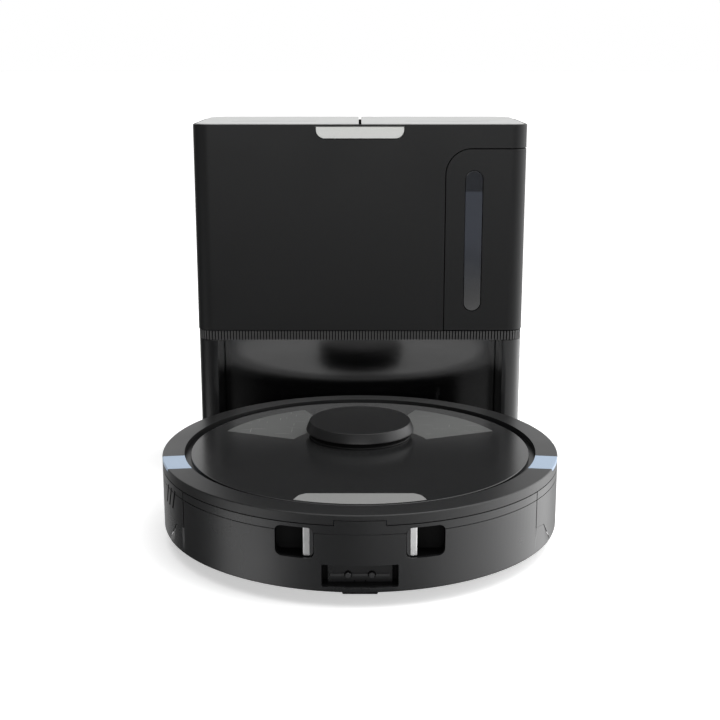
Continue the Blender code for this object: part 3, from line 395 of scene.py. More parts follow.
# Painted shade: a near-black set in recesses, behind seams and behind ribs so that they read as shaded.
SHADE_BLACK = MouldedPlastic("inner_black", "matte_black_deep", (0.0022, 0.0022, 0.0023),
                            0.6, 0.06, specular=0.12)
EDGE_GREY = MouldedPlastic("satin_black", "satin_grey_edge", (0.022, 0.022, 0.023), 0.34, 0.04)
BADGE_GREY = PearlPlastic("light_grey", "pearl_grey_badge", (0.235, 0.236, 0.232), 0.34)
COVER_GREY = PearlPlastic("light_grey", "pearl_grey_cover", (0.425, 0.43, 0.425), 0.42, 0.05)
TAB_GREY = PearlPlastic("light_grey", "pearl_grey_tab", (0.485, 0.49, 0.475), 0.40, 0.05)
ICE_BLUE = PearlPlastic("ice_blue", "pearl_ice_blue", (0.30, 0.385, 0.50), 0.34, 0.08)
SMOKE = SmokedWindow("smoke", "smoked_window", (0.0075, 0.0080, 0.0090))
MID_GREY = MouldedPlastic("grey_plastic", "matte_grey", (0.16, 0.16, 0.16), 0.5, 0.06, 1100.0, 0.00003)
RUBBER = Rubber("rubber_black", "matte_rubber", (0.014, 0.014, 0.014))
STEEL = BrushedMetal("steel", "brushed_steel_part", (0.56, 0.56, 0.57))
SILVER = BrushedMetal("steel", "satin_silver_strip", (0.78, 0.78, 0.78), 0.34, (1500.0, 1500.0, 60.0))
BRASS = BrushedMetal("contact_brass", "polished_brass", (0.75, 0.56, 0.24), 0.24)
BOARD = CircuitBoard("board_green", "circuit_board", (0.012, 0.10, 0.04))
FILTER = WovenFibre("filter_white", "pleated_fibre", (0.78, 0.78, 0.75))
FIN_BLUE = Rubber("bristle", "brush_fin_rubber", (0.022, 0.025, 0.030), 0.6)
BRISTLE = WovenFibre("bristle", "brush_bristle", (0.045, 0.050, 0.055), 0.7)
WRAP = PolishedPlastic("battery_wrap", "battery_film", (0.03, 0.07, 0.22), 0.2, 0.0002)


# ------------------------------------------------------------------ mesh work


class Shape:
    """Makes closed meshes and joins them with live modifiers that are applied in place."""

    @staticmethod
    def box(low: Sequence[float], high: Sequence[float]) -> bmesh.types.BMesh:
        """A box between two corners."""
        bm = bmesh.new()
        size = Vector(high) - Vector(low)
        middle = (Vector(high) + Vector(low)) / 2
        bmesh.ops.create_cube(bm, size=1.0, matrix=Matrix.Translation(middle) @ Matrix.Diagonal((*size, 1.0)))
        return bm

    @staticmethod
    def rod(radius: float, low: Sequence[float], high: Sequence[float], segments: int = 32
            ) -> bmesh.types.BMesh:
        """A cylinder from one point to another."""
        start, end = Vector(low), Vector(high)
        bm = bmesh.new()
        turn = (end - start).to_track_quat("Z", "Y").to_matrix().to_4x4()
        bmesh.ops.create_cone(bm, cap_ends=True, segments=segments, radius1=radius, radius2=radius,
                              depth=(end - start).length, matrix=Matrix.Translation((start + end) / 2) @ turn)
        return bm

    @staticmethod
    def lathe(profile: Sequence[Point], segments: int, centre: Point = (0.0, 0.0), closed: bool = True
              ) -> bmesh.types.BMesh:
        """A shape turned about the vertical axis through centre.

        Args:
            profile: (radius, height) points. An open profile starts and ends on the axis.
            segments: Facets round the axis.
            centre: The axis, in X and Y.
            closed: Whether the last point joins the first.

        Returns:
            The turned shape.
        """
        bm = bmesh.new()
        verts = [bm.verts.new((radius, 0, height)) for radius, height in profile]
        pairs = list(zip(verts, verts[1:])) + ([(verts[-1], verts[0])] if closed else [])
        edges = [bm.edges.new(pair) for pair in pairs]
        bmesh.ops.spin(bm, geom=verts + edges, cent=(0, 0, 0), axis=(0, 0, 1), angle=math.tau,
                       steps=segments, use_merge=True)
        bmesh.ops.remove_doubles(bm, verts=bm.verts, dist=1e-6)
        bmesh.ops.translate(bm, verts=bm.verts, vec=(*centre, 0))
        return bm

    @staticmethod
    def extrude(points: Sequence[Point], low: float, high: float, axis: Axis = Axis.Z) -> bmesh.types.BMesh:
        """A prism of an outline: (x, y) along Z, (x, z) along Y or (y, z) along X."""
        place: dict[Axis, Callable[[float, float], tuple[float, float, float]]] = {
            Axis.Z: lambda a, b: (a, b, low),
            Axis.Y: lambda a, b: (a, low, b),
            Axis.X: lambda a, b: (low, a, b)}
        step = {Axis.Z: (0, 0, 1), Axis.Y: (0, 1, 0), Axis.X: (1, 0, 0)}[axis]
        bm = bmesh.new()
        face = bm.faces.new([bm.verts.new(place[axis](a, b)) for a, b in points])
        made = bmesh.ops.extrude_face_region(bm, geom=[face])
        moved = [item for item in made["geom"] if isinstance(item, bmesh.types.BMVert)]
        bmesh.ops.translate(bm, verts=moved, vec=Vector(step) * (high - low))
        return bm

    @staticmethod
    def arc(centre: Point, radius: float, start: float, end: float, steps: int) -> list[Point]:
        """Points on an arc between two angles in degrees, both ends included."""
        angles = [math.radians(start + (end - start) * i / steps) for i in range(steps + 1)]
        return [(centre[0] + radius * math.cos(a), centre[1] + radius * math.sin(a)) for a in angles]

    @staticmethod
    def rounded(low: Point, high: Point, radii: Sequence[float], steps: int = 10) -> list[Point]:
        """A rectangle with one radius per corner: low-low, high-low, high-high, low-high."""
        corners = [(low[0], low[1], 1, 1, 180), (high[0], low[1], -1, 1, 270),
                   (high[0], high[1], -1, -1, 0), (low[0], high[1], 1, -1, 90)]
        points: list[Point] = []
        for (a, b, side_a, side_b, start), radius in zip(corners, radii):
            if radius <= 0:
                points.append((a, b))
            else:
                centre = (a + side_a * radius, b + side_b * radius)
                points += Shape.arc(centre, radius, start, start + 90, steps)
        return points

    @staticmethod
    def smooth(points: Sequence[Point], steps: int = 4) -> list[Point]:
        """A Catmull-Rom curve through the points."""
        ends = [points[0], *points, points[-1]]
        found: list[Point] = []
        for i in range(1, len(ends) - 2):
            a, b, c, d = (Vector(ends[i + k]) for k in (-1, 0, 1, 2))
            for k in range(steps):
                t = k / steps
                square, cube = 2 * a - 5 * b + 4 * c - d, 3 * b - a - 3 * c + d
                p = 0.5 * (2 * b + (c - a) * t + square * t**2 + cube * t**3)
                found.append((p.x, p.y))
        return found + [tuple(points[-1])]

    @staticmethod
    def parallel(points: Sequence[Point], distance: float) -> list[Point]:
        """The polyline moved sideways by distance, to the right of its direction, with sharp corners."""
        runs = [(Vector(b) - Vector(a)).normalized() for a, b in zip(points, points[1:])]
        moved: list[Point] = []
        for point, before, after in zip(points, runs[:1] + runs, runs + runs[-1:]):
            reach = distance / (1 + before.dot(after))
            along = before + after
            moved.append((point[0] + along.y * reach, point[1] - along.x * reach))
        return moved

    @staticmethod
    def mirrored(bm: bmesh.types.BMesh, side: int) -> bmesh.types.BMesh:
        """The shape as drawn for the +X side, or its mirror image."""
        if side < 0:
            bmesh.ops.scale(bm, vec=(-1, 1, 1), verts=bm.verts)
        return bm


class Piece:
    """A mesh object in the making: it takes Booleans and bevels, then a finish, a body and its CAD nodes."""

    def __init__(self, name: str, bm: bmesh.types.BMesh, shift: Vector | None = None) -> None:
        """Make the object.

        Args:
            name: The piece's name.
            bm: Its shape, which is used up.
            shift: Where the shape's own origin goes, at the row's origin if left out.
        """
        self.shift = shift or Vector()
        self.obj = self._object(name, bm)

    def _object(self, name: str, bm: bmesh.types.BMesh) -> Object:
        """A linked object of a shape, with its normals set outwards."""
        bmesh.ops.remove_doubles(bm, verts=bm.verts, dist=1e-6)
        bmesh.ops.recalc_face_normals(bm, faces=bm.faces)
        bmesh.ops.translate(bm, verts=bm.verts, vec=self.shift)
        mesh = bpy.data.meshes.new(name)
        bm.to_mesh(mesh)
        bm.free()
        obj = bpy.data.objects.new(name, mesh)
        bpy.context.scene.collection.objects.link(obj)
        return obj

    def apply(self) -> "Piece":
        """Turn the live modifiers into plain mesh."""
        graph = bpy.context.evaluated_depsgraph_get()
        graph.update()
        mesh = bpy.data.meshes.new_from_object(self.obj.evaluated_get(graph))
        old = self.obj.data
        self.obj.modifiers.clear()
        self.obj.data = mesh
        mesh.name = self.obj.name
        bpy.data.meshes.remove(old)
        return self

    def boolean(self, kind: Boolean, *shapes: bmesh.types.BMesh) -> "Piece":
        """Cut, keep or join with shapes drawn in the same frame."""
        for bm in shapes:
            helper = self._object("helper", bm)
            modifier = self.obj.modifiers.new("boolean", "BOOLEAN")
            modifier.object = helper
            modifier.operation = kind.value
            modifier.solver = "EXACT"
            self.apply()
            bpy.data.objects.remove(helper, do_unlink=True)
        return self

    def cut(self, *shapes: bmesh.types.BMesh) -> "Piece":
        """Take the shapes away."""
        return self.boolean(Boolean.CUT, *shapes)

    def keep(self, *shapes: bmesh.types.BMesh) -> "Piece":
        """Keep only what lies in each shape."""
        return self.boolean(Boolean.KEEP, *shapes)

    def join(self, *shapes: bmesh.types.BMesh) -> "Piece":
        """Add the shapes."""
        return self.boolean(Boolean.JOIN, *shapes)

    def bevel(self, width: float, segments: int = 2, angle: float = 35.0) -> "Piece":
        """Round the sharp edges."""
        self.clean()
        modifier = self.obj.modifiers.new("bevel", "BEVEL")
        modifier.width = width
        modifier.segments = segments
        modifier.limit_method = "ANGLE"
        modifier.angle_limit = math.radians(angle)
        modifier.use_clamp_overlap = True
        modifier.miter_outer = "MITER_ARC"
        return self.apply()

    def clean(self) -> "Piece":
        """Merge doubled points and drop slivers and needless edges in flat faces."""
        bm = bmesh.new()
        bm.from_mesh(self.obj.data)
        bmesh.ops.remove_doubles(bm, verts=bm.verts, dist=0.00001)
        bmesh.ops.dissolve_degenerate(bm, edges=bm.edges, dist=0.00001)
        bmesh.ops.dissolve_limit(bm, angle_limit=math.radians(0.2), verts=bm.verts, edges=bm.edges)
        bm.to_mesh(self.obj.data)
        bm.free()
        return self

    def dress(self, finish: Finish, body: str, *nodes: str, angle: float = 50.0) -> Object:
        """Finish the piece: shade it, give it its material, its body and the CAD nodes that it stands for."""
        obj = self.obj
        obj.data.shade_smooth()
        obj.data.set_sharp_from_angle(angle=math.radians(angle))
        flatten = obj.modifiers.new("flatten", "WEIGHTED_NORMAL")
        flatten.keep_sharp = True
        self.apply()
        obj.data.materials.clear()
        obj.data.materials.append(finish.material())
        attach(obj, body)
        if nodes:
            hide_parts(*nodes)
        LOG.info("%s: %d faces on %s", obj.name, len(obj.data.polygons), body)
        return obj


def refined(node: str, finish: Finish, body: str, width: float = 0.0004, segments: int = 2) -> Object:
    """A merged copy of a CAD node with its edges rounded, which stands for the node.

    Args:
        node: The CAD node's name.
        finish: Its finish.
        body: The body that it rides on.
        width: The bevel's width.
        segments: The bevel's segments.

    Returns:
        The new piece.
    """
    bm = bmesh.new()
    bm.from_mesh(frame["nodes"][node].data)
    piece = Piece(f"{node}_shape", bm)
    if width > 0:
        piece.bevel(width, segments)
    return piece.dress(finish, body, node)


# ------------------------------------------------------------------ geometry nodes


class GeometryTree:
    """A writer of Geometry Nodes trees with named inputs."""

    def __init__(self, name: str) -> None:
        """Start a tree with a geometry input and output."""
        self.tree: NodeTree = bpy.data.node_groups.new(name, "GeometryNodeTree")
        self.tree.interface.new_socket("Geometry", in_out="INPUT", socket_type="NodeSocketGeometry")
        self.tree.interface.new_socket("Geometry", in_out="OUTPUT", socket_type="NodeSocketGeometry")
        self.inputs = self.tree.nodes.new("NodeGroupInput")
        self.outputs = self.tree.nodes.new("NodeGroupOutput")
        self.ids: dict[str, str] = {}

    def add_input(self, name: str, kind: str, value: object = None) -> None:
        """Add a named input of a socket kind such as Float, Int, Object or Material."""
        socket = self.tree.interface.new_socket(name, in_out="INPUT", socket_type=f"NodeSocket{kind}")
        if value is not None:
            socket.default_value = value
        self.ids[name] = socket.identifier

    def node(self, kind: str, **settings: object) -> bpy.types.Node:
        """Add a node with its properties."""
        made = self.tree.nodes.new(kind)
        for key, value in settings.items():
            setattr(made, key, value)
        return made

    def link(self, source: bpy.types.NodeSocket, target: bpy.types.NodeSocket) -> None:
        """Join two sockets."""
        self.tree.links.new(source, target)

    def named(self, name: str) -> bpy.types.NodeSocket:
        """The group input of that name."""
        return self.inputs.outputs[name]

    def finish(self, geometry: bpy.types.NodeSocket) -> None:
        """End the tree in Realize Instances and Set Material."""
        realize = self.node("GeometryNodeRealizeInstances")
        paint = self.node("GeometryNodeSetMaterial")
        self.link(geometry, realize.inputs["Geometry"])
        self.link(realize.outputs["Geometry"], paint.inputs["Geometry"])
        self.link(self.named("Finish"), paint.inputs["Material"])
        self.link(paint.outputs["Geometry"], self.outputs.inputs["Geometry"])

    def run(self, name: str, host: Object, values: dict[str, object]) -> Piece:
        """Run the tree on a host object and keep the result as a plain mesh.

        Args:
            name: The piece's name.
            host: The object that the tree starts from, which is removed.
            values: A value for each named input.

        Returns:
            The piece.
        """
        modifier = host.modifiers.new("nodes", "NODES")
        modifier.node_group = self.tree
        for key, value in values.items():
            modifier[self.ids[key]] = value
        host.update_tag()
        graph = bpy.context.evaluated_depsgraph_get()
        graph.update()
        mesh = bpy.data.meshes.new_from_object(host.evaluated_get(graph))
        bm = bmesh.new()
        bm.from_mesh(mesh)
        bpy.data.objects.remove(host, do_unlink=True)
        bpy.data.meshes.remove(mesh)
        return Piece(name, bm)


class Repeater:
    """Copies one small shape onto many places, each with its own direction, size and spin."""

    def __init__(self) -> None:
        """Write the tree: instance on points, turned to each point's facing and up, scaled at random."""
        tree = GeometryTree("copies_on_places")
        tree.add_input("Copy", "Object")
        tree.add_input("Size Spread", "Float", 0.0)
        tree.add_input("Lean", "Float", 0.0)
        tree.add_input("Seed", "Int", 7)
        tree.add_input("Finish", "Material")
        info = tree.node("GeometryNodeObjectInfo")
        tree.link(tree.named("Copy"), info.inputs["Object"])
        facing = tree.node("GeometryNodeInputNamedAttribute", data_type="FLOAT_VECTOR")
        facing.inputs["Name"].default_value = "facing"
        upward = tree.node("GeometryNodeInputNamedAttribute", data_type="FLOAT_VECTOR")
        upward.inputs["Name"].default_value = "upward"
        points = tree.node("GeometryNodeMeshToPoints")
        tree.link(tree.named("Geometry"), points.inputs["Mesh"])
        first = tree.node("FunctionNodeAlignRotationToVector", axis="Z")
        tree.link(facing.outputs["Attribute"], first.inputs["Vector"])
        second = tree.node("FunctionNodeAlignRotationToVector", axis="Y", pivot_axis="Z")
        tree.link(first.outputs["Rotation"], second.inputs["Rotation"])
        tree.link(upward.outputs["Attribute"], second.inputs["Vector"])
        lean = tree.node("FunctionNodeRandomValue", data_type="FLOAT_VECTOR")
        lean_low = tree.node("ShaderNodeMath", operation="MULTIPLY")
        lean_low.inputs[1].default_value = -1.0
        tree.link(tree.named("Lean"), lean_low.inputs[0])
        tree.link(lean_low.outputs[0], lean.inputs["Min"])
        tree.link(tree.named("Lean"), lean.inputs["Max"])
        tree.link(tree.named("Seed"), lean.inputs["Seed"])
        turn = tree.node("FunctionNodeRotateRotation", rotation_space="LOCAL")
        tree.link(second.outputs["Rotation"], turn.inputs["Rotation"])
        euler = tree.node("FunctionNodeEulerToRotation")
        tree.link(lean.outputs["Value"], euler.inputs["Euler"])
        tree.link(euler.outputs["Rotation"], turn.inputs["Rotate By"])
        size = tree.node("FunctionNodeRandomValue", data_type="FLOAT")
        low = tree.node("ShaderNodeMath", operation="SUBTRACT")
        low.inputs[0].default_value = 1.0
        tree.link(tree.named("Size Spread"), low.inputs[1])
        tree.link(low.outputs[0], size.inputs[2])
        size.inputs[3].default_value = 1.0
        tree.link(tree.named("Seed"), size.inputs["Seed"])
        copies = tree.node("GeometryNodeInstanceOnPoints")
        tree.link(points.outputs["Points"], copies.inputs["Points"])
        tree.link(info.outputs["Geometry"], copies.inputs["Instance"])
        tree.link(turn.outputs["Rotation"], copies.inputs["Rotation"])
        tree.link(size.outputs[1], copies.inputs["Scale"])
        tree.finish(copies.outputs["Instances"])
        self.tree = tree

    def place(self, name: str, copy: bmesh.types.BMesh, places: Iterable[tuple[Vector, Vector, Vector]],
              finish: Finish, spread: float = 0.0, lean: float = 0.0, seed: int = 7) -> Piece:
        """Copy a shape onto places.

        Args:
            name: The piece's name.
            copy: The small shape, its foot at the origin and its length along Z.
            places: For each copy its point, the direction of its Z and that of its Y.
            finish: The material of the copies.
            spread: How much smaller than full size a copy may be.
            lean: How far a copy may lean, in radians.
            seed: The random draws' seed.

        Returns:
            All the copies as one piece.
        """
        spots = list(places)
        bm = bmesh.new()
        for point, _, _ in spots:
            bm.verts.new(point)
        host = Piece("places", bm).obj
        for key, index in (("facing", 1), ("upward", 2)):
            layer = host.data.attributes.new(key, "FLOAT_VECTOR", "POINT")
            layer.data.foreach_set("vector", [value for spot in spots for value in spot[index]])
        unit = Piece("copy", copy).obj
        values = {"Copy": unit, "Size Spread": spread, "Lean": lean, "Seed": seed,
                  "Finish": finish.material()}
        piece = self.tree.run(name, host, values)
        bpy.data.objects.remove(unit, do_unlink=True)
        return piece


class RibRow:
    """Upright ribs at an even pitch along a closed outline."""

    def __init__(self) -> None:
        """Write the tree: the outline in even steps, then a box on each step, turned along it."""
        tree = GeometryTree("ribs_along_outline")
        for name, value in (("Pitch", 0.003), ("Width", 0.0012), ("Depth", 0.001), ("Height", 0.006)):
            tree.add_input(name, "Float", value)
        tree.add_input("Finish", "Material")
        to_curve = tree.node("GeometryNodeMeshToCurve")
        tree.link(tree.named("Geometry"), to_curve.inputs["Mesh"])
        resample = tree.node("GeometryNodeResampleCurve", mode="LENGTH")
        tree.link(to_curve.outputs["Curve"], resample.inputs["Curve"])
        tree.link(tree.named("Pitch"), resample.inputs["Length"])
        points = tree.node("GeometryNodeCurveToPoints", mode="EVALUATED")
        tree.link(resample.outputs["Curve"], points.inputs["Curve"])
        aim = tree.node("FunctionNodeAlignRotationToVector", axis="X", pivot_axis="Z")
        tree.link(points.outputs["Tangent"], aim.inputs["Vector"])
        size = tree.node("ShaderNodeCombineXYZ")
        for key, socket in (("Width", "X"), ("Depth", "Y"), ("Height", "Z")):
            tree.link(tree.named(key), size.inputs[socket])
        cube = tree.node("GeometryNodeMeshCube")
        tree.link(size.outputs["Vector"], cube.inputs["Size"])
        copies = tree.node("GeometryNodeInstanceOnPoints")
        tree.link(points.outputs["Points"], copies.inputs["Points"])
        tree.link(cube.outputs["Mesh"], copies.inputs["Instance"])
        tree.link(aim.outputs["Rotation"], copies.inputs["Rotation"])
        tree.finish(copies.outputs["Instances"])
        self.tree = tree

    def place(self, name: str, outline: Sequence[Point], level: float, finish: Finish, **sizes: float
              ) -> Piece:
        """Set ribs along an outline at a level. sizes are Pitch, Width, Depth and Height."""
        bm = bmesh.new()
        verts = [bm.verts.new((x, y, level)) for x, y in outline]
        for pair in zip(verts, verts[1:] + verts[:1]):
            bm.edges.new(pair)
        host = Piece("outline", bm).obj
        return self.tree.run(name, host, {**sizes, "Finish": finish.material()})


# ------------------------------------------------------------------ the frame's places


def corners(node: str) -> tuple[Vector, Vector]:
    """The lowest and highest corner of a CAD node."""
    low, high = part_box(node)
    return Vector(low), Vector(high)


def middle(node: str) -> Vector:
    """The middle of a CAD node's box."""
    low, high = corners(node)
    return (low + high) / 2


class Side(Enum):
    """A side of the object, seen from the front."""

    LEFT = -1
    RIGHT = 1

    @property
    def word(self) -> str:
        """The side's name in piece names."""
        return self.name.lower()


# ------------------------------------------------------------------ the robot


@dataclass(frozen=True)
class RobotSizes:
    """Sizes that the robot's shells share, drawn about the robot's own centre."""

    facets: int = 224
    wall: float = 0.0028
    tab_half: float = 0.0193
    seam: float = 0.0005
    travel: float = 0.0035
    centre: Vector = field(default_factory=lambda: Vector((0, middle("top_ring").y, 0)))
    radius: float = field(default_factory=lambda: corners("top_ring")[1].x)
    deck: float = field(default_factory=lambda: corners("top_ring")[0].z)
    bottom: float = field(default_factory=lambda: corners("bumper")[0].z)
    wall_top: float = field(default_factory=lambda: corners("side_shell")[1].z)
    tab_top: float = field(default_factory=lambda: corners("bumper")[1].z)
    lid_low: float = field(default_factory=lambda: corners("lid")[0].z)
    lid_high: float = field(default_factory=lambda: corners("lid")[1].z)
    lid_radius: float = field(default_factory=lambda: corners("lid")[1].x)

    @property
    def inner(self) -> float:
        """The radius of the wall's inside."""
        return self.radius - self.wall


@dataclass(frozen=True)
class TopRing:
    """The flat ring round the lid, with a blue insert let into each side."""

    sizes: RobotSizes
    inner_radius: float = 0.1512
    inner_top: float = 0.0747
    outer_top: float = 0.0739
    chamfer: float = 0.0007
    skin: float = 0.0026
    ledge: float = 0.0692
    ledge_inner: float = 0.1360
    insert_depth: float = 0.0012
    insert_ends: tuple[float, float] = (0.0712, 0.0716)

    def surface(self) -> list[Point]:
        """The ring's crown from its inner edge out to its side, (radius, height)."""
        radius = self.sizes.radius
        return [(self.inner_radius, self.inner_top), (radius - self.chamfer, self.outer_top),
                (radius, self.outer_top - self.chamfer)]

    def band(self, above: float, below: float, grow: float) -> bmesh.types.BMesh:
        """A skin that follows the crown, from above it to below it."""
        radius = self.sizes.radius
        ends = ((self.inner_radius, self.insert_ends[0] - grow), (radius, self.insert_ends[1] - grow))
        crown = [ends[0], *self.surface(), ends[1]]
        under = [ends[0], self.surface()[0], (radius, self.outer_top), ends[1]]
        return Shape.lathe(Shape.parallel(crown, -above) + Shape.parallel(under, below)[::-1],
                           self.sizes.facets)

    def insert_places(self, side: Side, grow: float) -> bmesh.types.BMesh:
        """The slab across the ring in which an insert lies."""
        low, high = corners(f"accent_{side.word}")
        depth = (low.y - self.sizes.centre.y - grow, high.y - self.sizes.centre.y + grow)
        return Shape.mirrored(Shape.box((0.10, depth[0], 0), (FAR, depth[1], 0.1)), side.value)

    def build(self) -> None:
        """Build the ring and its two inserts."""
        size = self.sizes
        near, far = self.inner_radius + self.skin, size.inner + GAP
        under = [(size.radius, size.deck), (far, size.deck), (far, self.outer_top - self.skin),
                 (near, self.inner_top - self.skin), (near, size.deck), (self.ledge_inner, size.deck),
                 (self.ledge_inner, self.ledge), (self.inner_radius, self.ledge)]
        ring = Piece("ring_crown", Shape.lathe(self.surface() + under, size.facets), size.centre)
        notch = size.tab_half + size.seam
        ring.cut(Shape.box((-notch, -FAR, 0.060),
                           (notch, -size.inner + size.travel + 0.0012, size.tab_top + size.seam)))
        for side in Side:
            pocket = Piece("pocket", self.band(0.004, self.insert_depth + GAP, GAP))
            pocket.keep(self.insert_places(side, GAP))
            shape = bmesh.new()
            shape.from_mesh(pocket.obj.data)
            bpy.data.objects.remove(pocket.obj, do_unlink=True)
            ring.cut(shape)
            insert = Piece(f"ring_insert_{side.word}", self.band(0.0, self.insert_depth, 0.0), size.centre)
            insert.keep(self.insert_places(side, 0.0))
            insert.bevel(0.0002).dress(ICE_BLUE, "robot", f"accent_{side.word}")
        ring.bevel(0.0002).dress(RING_BLACK, "robot", "top_ring")


@dataclass(frozen=True)
class Bumper:
    """The front wall that gives way, with its sensor windows, silver strips and low bay."""

    sizes: RobotSizes
    window_x: tuple[float, float] = (0.0345, 0.0643)
    window_z: tuple[float, float] = (0.0380, 0.0624)
    window_corner: float = 0.0050
    bay_half: float = 0.0290
    bay_z: tuple[float, float] = (0.0162, 0.0341)
    bay_plate_half: float = 0.0245
    bay_bar_half: float = 0.0225
    bay_face: float = -0.15875
    bay_level: float = 0.01155
    peg_x: float = 0.009
    peg_radius: float = 0.0023
    peg_clear: float = 0.0008
    groove: float = 0.0586
    lip_end: float = 0.0373
    strip_end: float = 0.0430
    # Painted shade: the height and thickness of the dark strips set behind the seams.
    backing_low: float = 0.0182
    backing_wall: float = 0.0018

    @staticmethod
    def end(grow: float, top: float) -> list[Point]:
        """The bumper's right end seen from the front, bottom to top."""
        points = [(0.1570, 0.0), (0.1570, 0.0150), (0.1553, 0.0185), (0.1494, 0.0330), (0.1414, 0.0350),
                  (0.1414, top)]
        return [(x + grow, z) for x, z in points]

    def window(self, grow: float) -> list[Point]:
        """A window's outline, grown all round."""
        low = (self.window_x[0] - grow, self.window_z[0] - grow)
        high = (self.window_x[1] + grow, self.window_z[1] + grow)
        return Shape.rounded(low, high, [self.window_corner] * 4, 8)

    def wall_profile(self, low: float, high: float) -> list[Point]:
        """The wall, its lower edge rounded."""
        size = self.sizes
        return [(size.inner, low), (size.radius - 0.0010, low), (size.radius - 0.0003, low + 0.0004),
                (size.radius, low + 0.0014), (size.radius, high), (size.inner, high)]

    def groove_cutter(self) -> bmesh.types.BMesh:
        """The fine groove that runs all round the wall."""
        radius, depth, half = self.sizes.radius, 0.0008, 0.00032
        return Shape.lathe([(radius - depth, self.groove - half), (radius + 0.001, self.groove - half),
                            (radius + 0.001, self.groove + half), (radius - depth, self.groove + half)],
                           self.sizes.facets)

    def build(self) -> None:
        """Build the wall and what is set into it."""
        size = self.sizes
        wall = Piece("bumper_wall", Shape.lathe(self.wall_profile(size.bottom, size.tab_top), size.facets),
                     size.centre)
        half = self.end(0.0, size.wall_top) + [(size.tab_half, size.wall_top), (size.tab_half, size.tab_top)]
        outline = half + [(-x, z) for x, z in half[::-1]]
        wall.keep(Shape.extrude(outline, -FAR, -0.03, Axis.Y))
        for side in Side:
            wall.cut(Shape.mirrored(Shape.extrude(self.window(0.0), -FAR, -0.10, Axis.Y), side.value))
        bay = Shape.rounded((-self.bay_half, self.bay_z[0]), (self.bay_half, self.bay_z[1]), [0.0012] * 4, 4)
        wall.cut(Shape.extrude(bay, -FAR, -0.10, Axis.Y))
        wall.bevel(0.0002).cut(self.groove_cutter()).dress(SATIN_BLACK, "bumper_body", "bumper")
        for side in Side:
            self.build_window(side)
            self.build_backing(side)
        self.build_bay()

    def build_bay(self) -> None:
        """The low recess: a matte tub painted near-black as shade, a satin plate in it, a bar, two ringed
        pegs and two small notches.
        """
        size, (low, high) = self.sizes, self.bay_z
        # Painted shade: the tub takes the near-black shade finish.
        refined("front_bay", SHADE_BLACK, "bumper_body", 0.0003)
        half, face = self.bay_plate_half, self.bay_face
        sheet = Shape.box((-half, face, low - 0.0002), (half, face + 0.0006, high - 0.0032))
        plate = Piece("bay_plate", sheet, size.centre)
        level, hole = high - self.bay_level, self.peg_radius + self.peg_clear
        for side in Side:
            x = self.peg_x * side.value
            plate.cut(Shape.rod(hole, (x, -0.17, level), (x, 0, level), 40))
            notch = 0.0042 * side.value
            plate.cut(Shape.box((notch - 0.0006, -0.17, low), (notch + 0.0006, 0, low + 0.0016)))
        plate.bevel(0.0002).dress(SATIN_BLACK, "bumper_body")
        half = self.bay_bar_half
        slat = Shape.box((-half, -0.1602, level - 0.0010), (half, -0.1590, level + 0.0010))
        bar = Piece("bay_bar", slat, size.centre)
        for side in Side:
            x = self.peg_x * side.value
            bar.cut(Shape.rod(hole, (x, -0.17, level), (x, 0, level), 40))
            pin = Shape.rod(self.peg_radius, (x, -0.1613, level), (x, -0.1580, level), 40)
            peg = Piece(f"bay_peg_{side.word}", pin, size.centre)
            peg.bevel(0.0004).dress(EDGE_GREY, "bumper_body")
        bar.bevel(0.0003).dress(EDGE_GREY, "bumper_body")

    def build_backing(self, side: Side) -> None:
        """A dark strip behind the seam at one end of the wall, clear of the wall's travel: painted shade that
        makes the seam read as a dark gap.
        """
        size = self.sizes
        outer = size.inner - size.travel - 0.0004
        inner, low, high = outer - self.backing_wall, self.backing_low, size.deck - 0.0015
        strip = [(inner, low), (outer, low), (outer, high), (inner, high)]
        seam_shade_strip = Piece(f"seam_backing_{side.word}", Shape.lathe(strip, size.facets), size.centre)
        seam_shade_strip.keep(Shape.mirrored(Shape.box((0.127, -0.101, 0), (FAR, -0.035, 0.1)), side.value))
        # Painted shade: the strip takes the near-black shade finish and stands for the shadow in the seam.
        seam_shade_strip.dress(SHADE_BLACK, "robot")

    def build_window(self, side: Side) -> None:
        """The tub of one window, painted near-black as shade, with a grey lip and a silver strip at its inner
        side.
        """
        size = self.sizes
        # Painted shade: the window's tub takes the near-black shade finish.
        refined(f"sensor_pocket_{side.word}", SHADE_BLACK, "bumper_body", 0.0004)
        for name, finish, depth, low, high in (
                ("window_lip", EDGE_GREY, 0.0022, self.window_x[0], self.lip_end),
                ("silver_strip", SILVER, 0.0034, self.lip_end + 0.0002, self.strip_end)):
            front = size.radius - depth
            shell = [(front - 0.0026, 0.03), (front, 0.03), (front, 0.07), (front - 0.0026, 0.07)]
            strip = Piece(f"{name}_{side.word}", Shape.lathe(shell, size.facets), size.centre)
            strip.keep(Shape.mirrored(Shape.extrude(self.window(-0.0005), -FAR, -0.10, Axis.Y), side.value))
            strip.keep(Shape.mirrored(Shape.box((low, -FAR, 0.0), (high, 0, 0.1)), side.value))
            strip.bevel(0.0006, 3).dress(finish, "bumper_body")


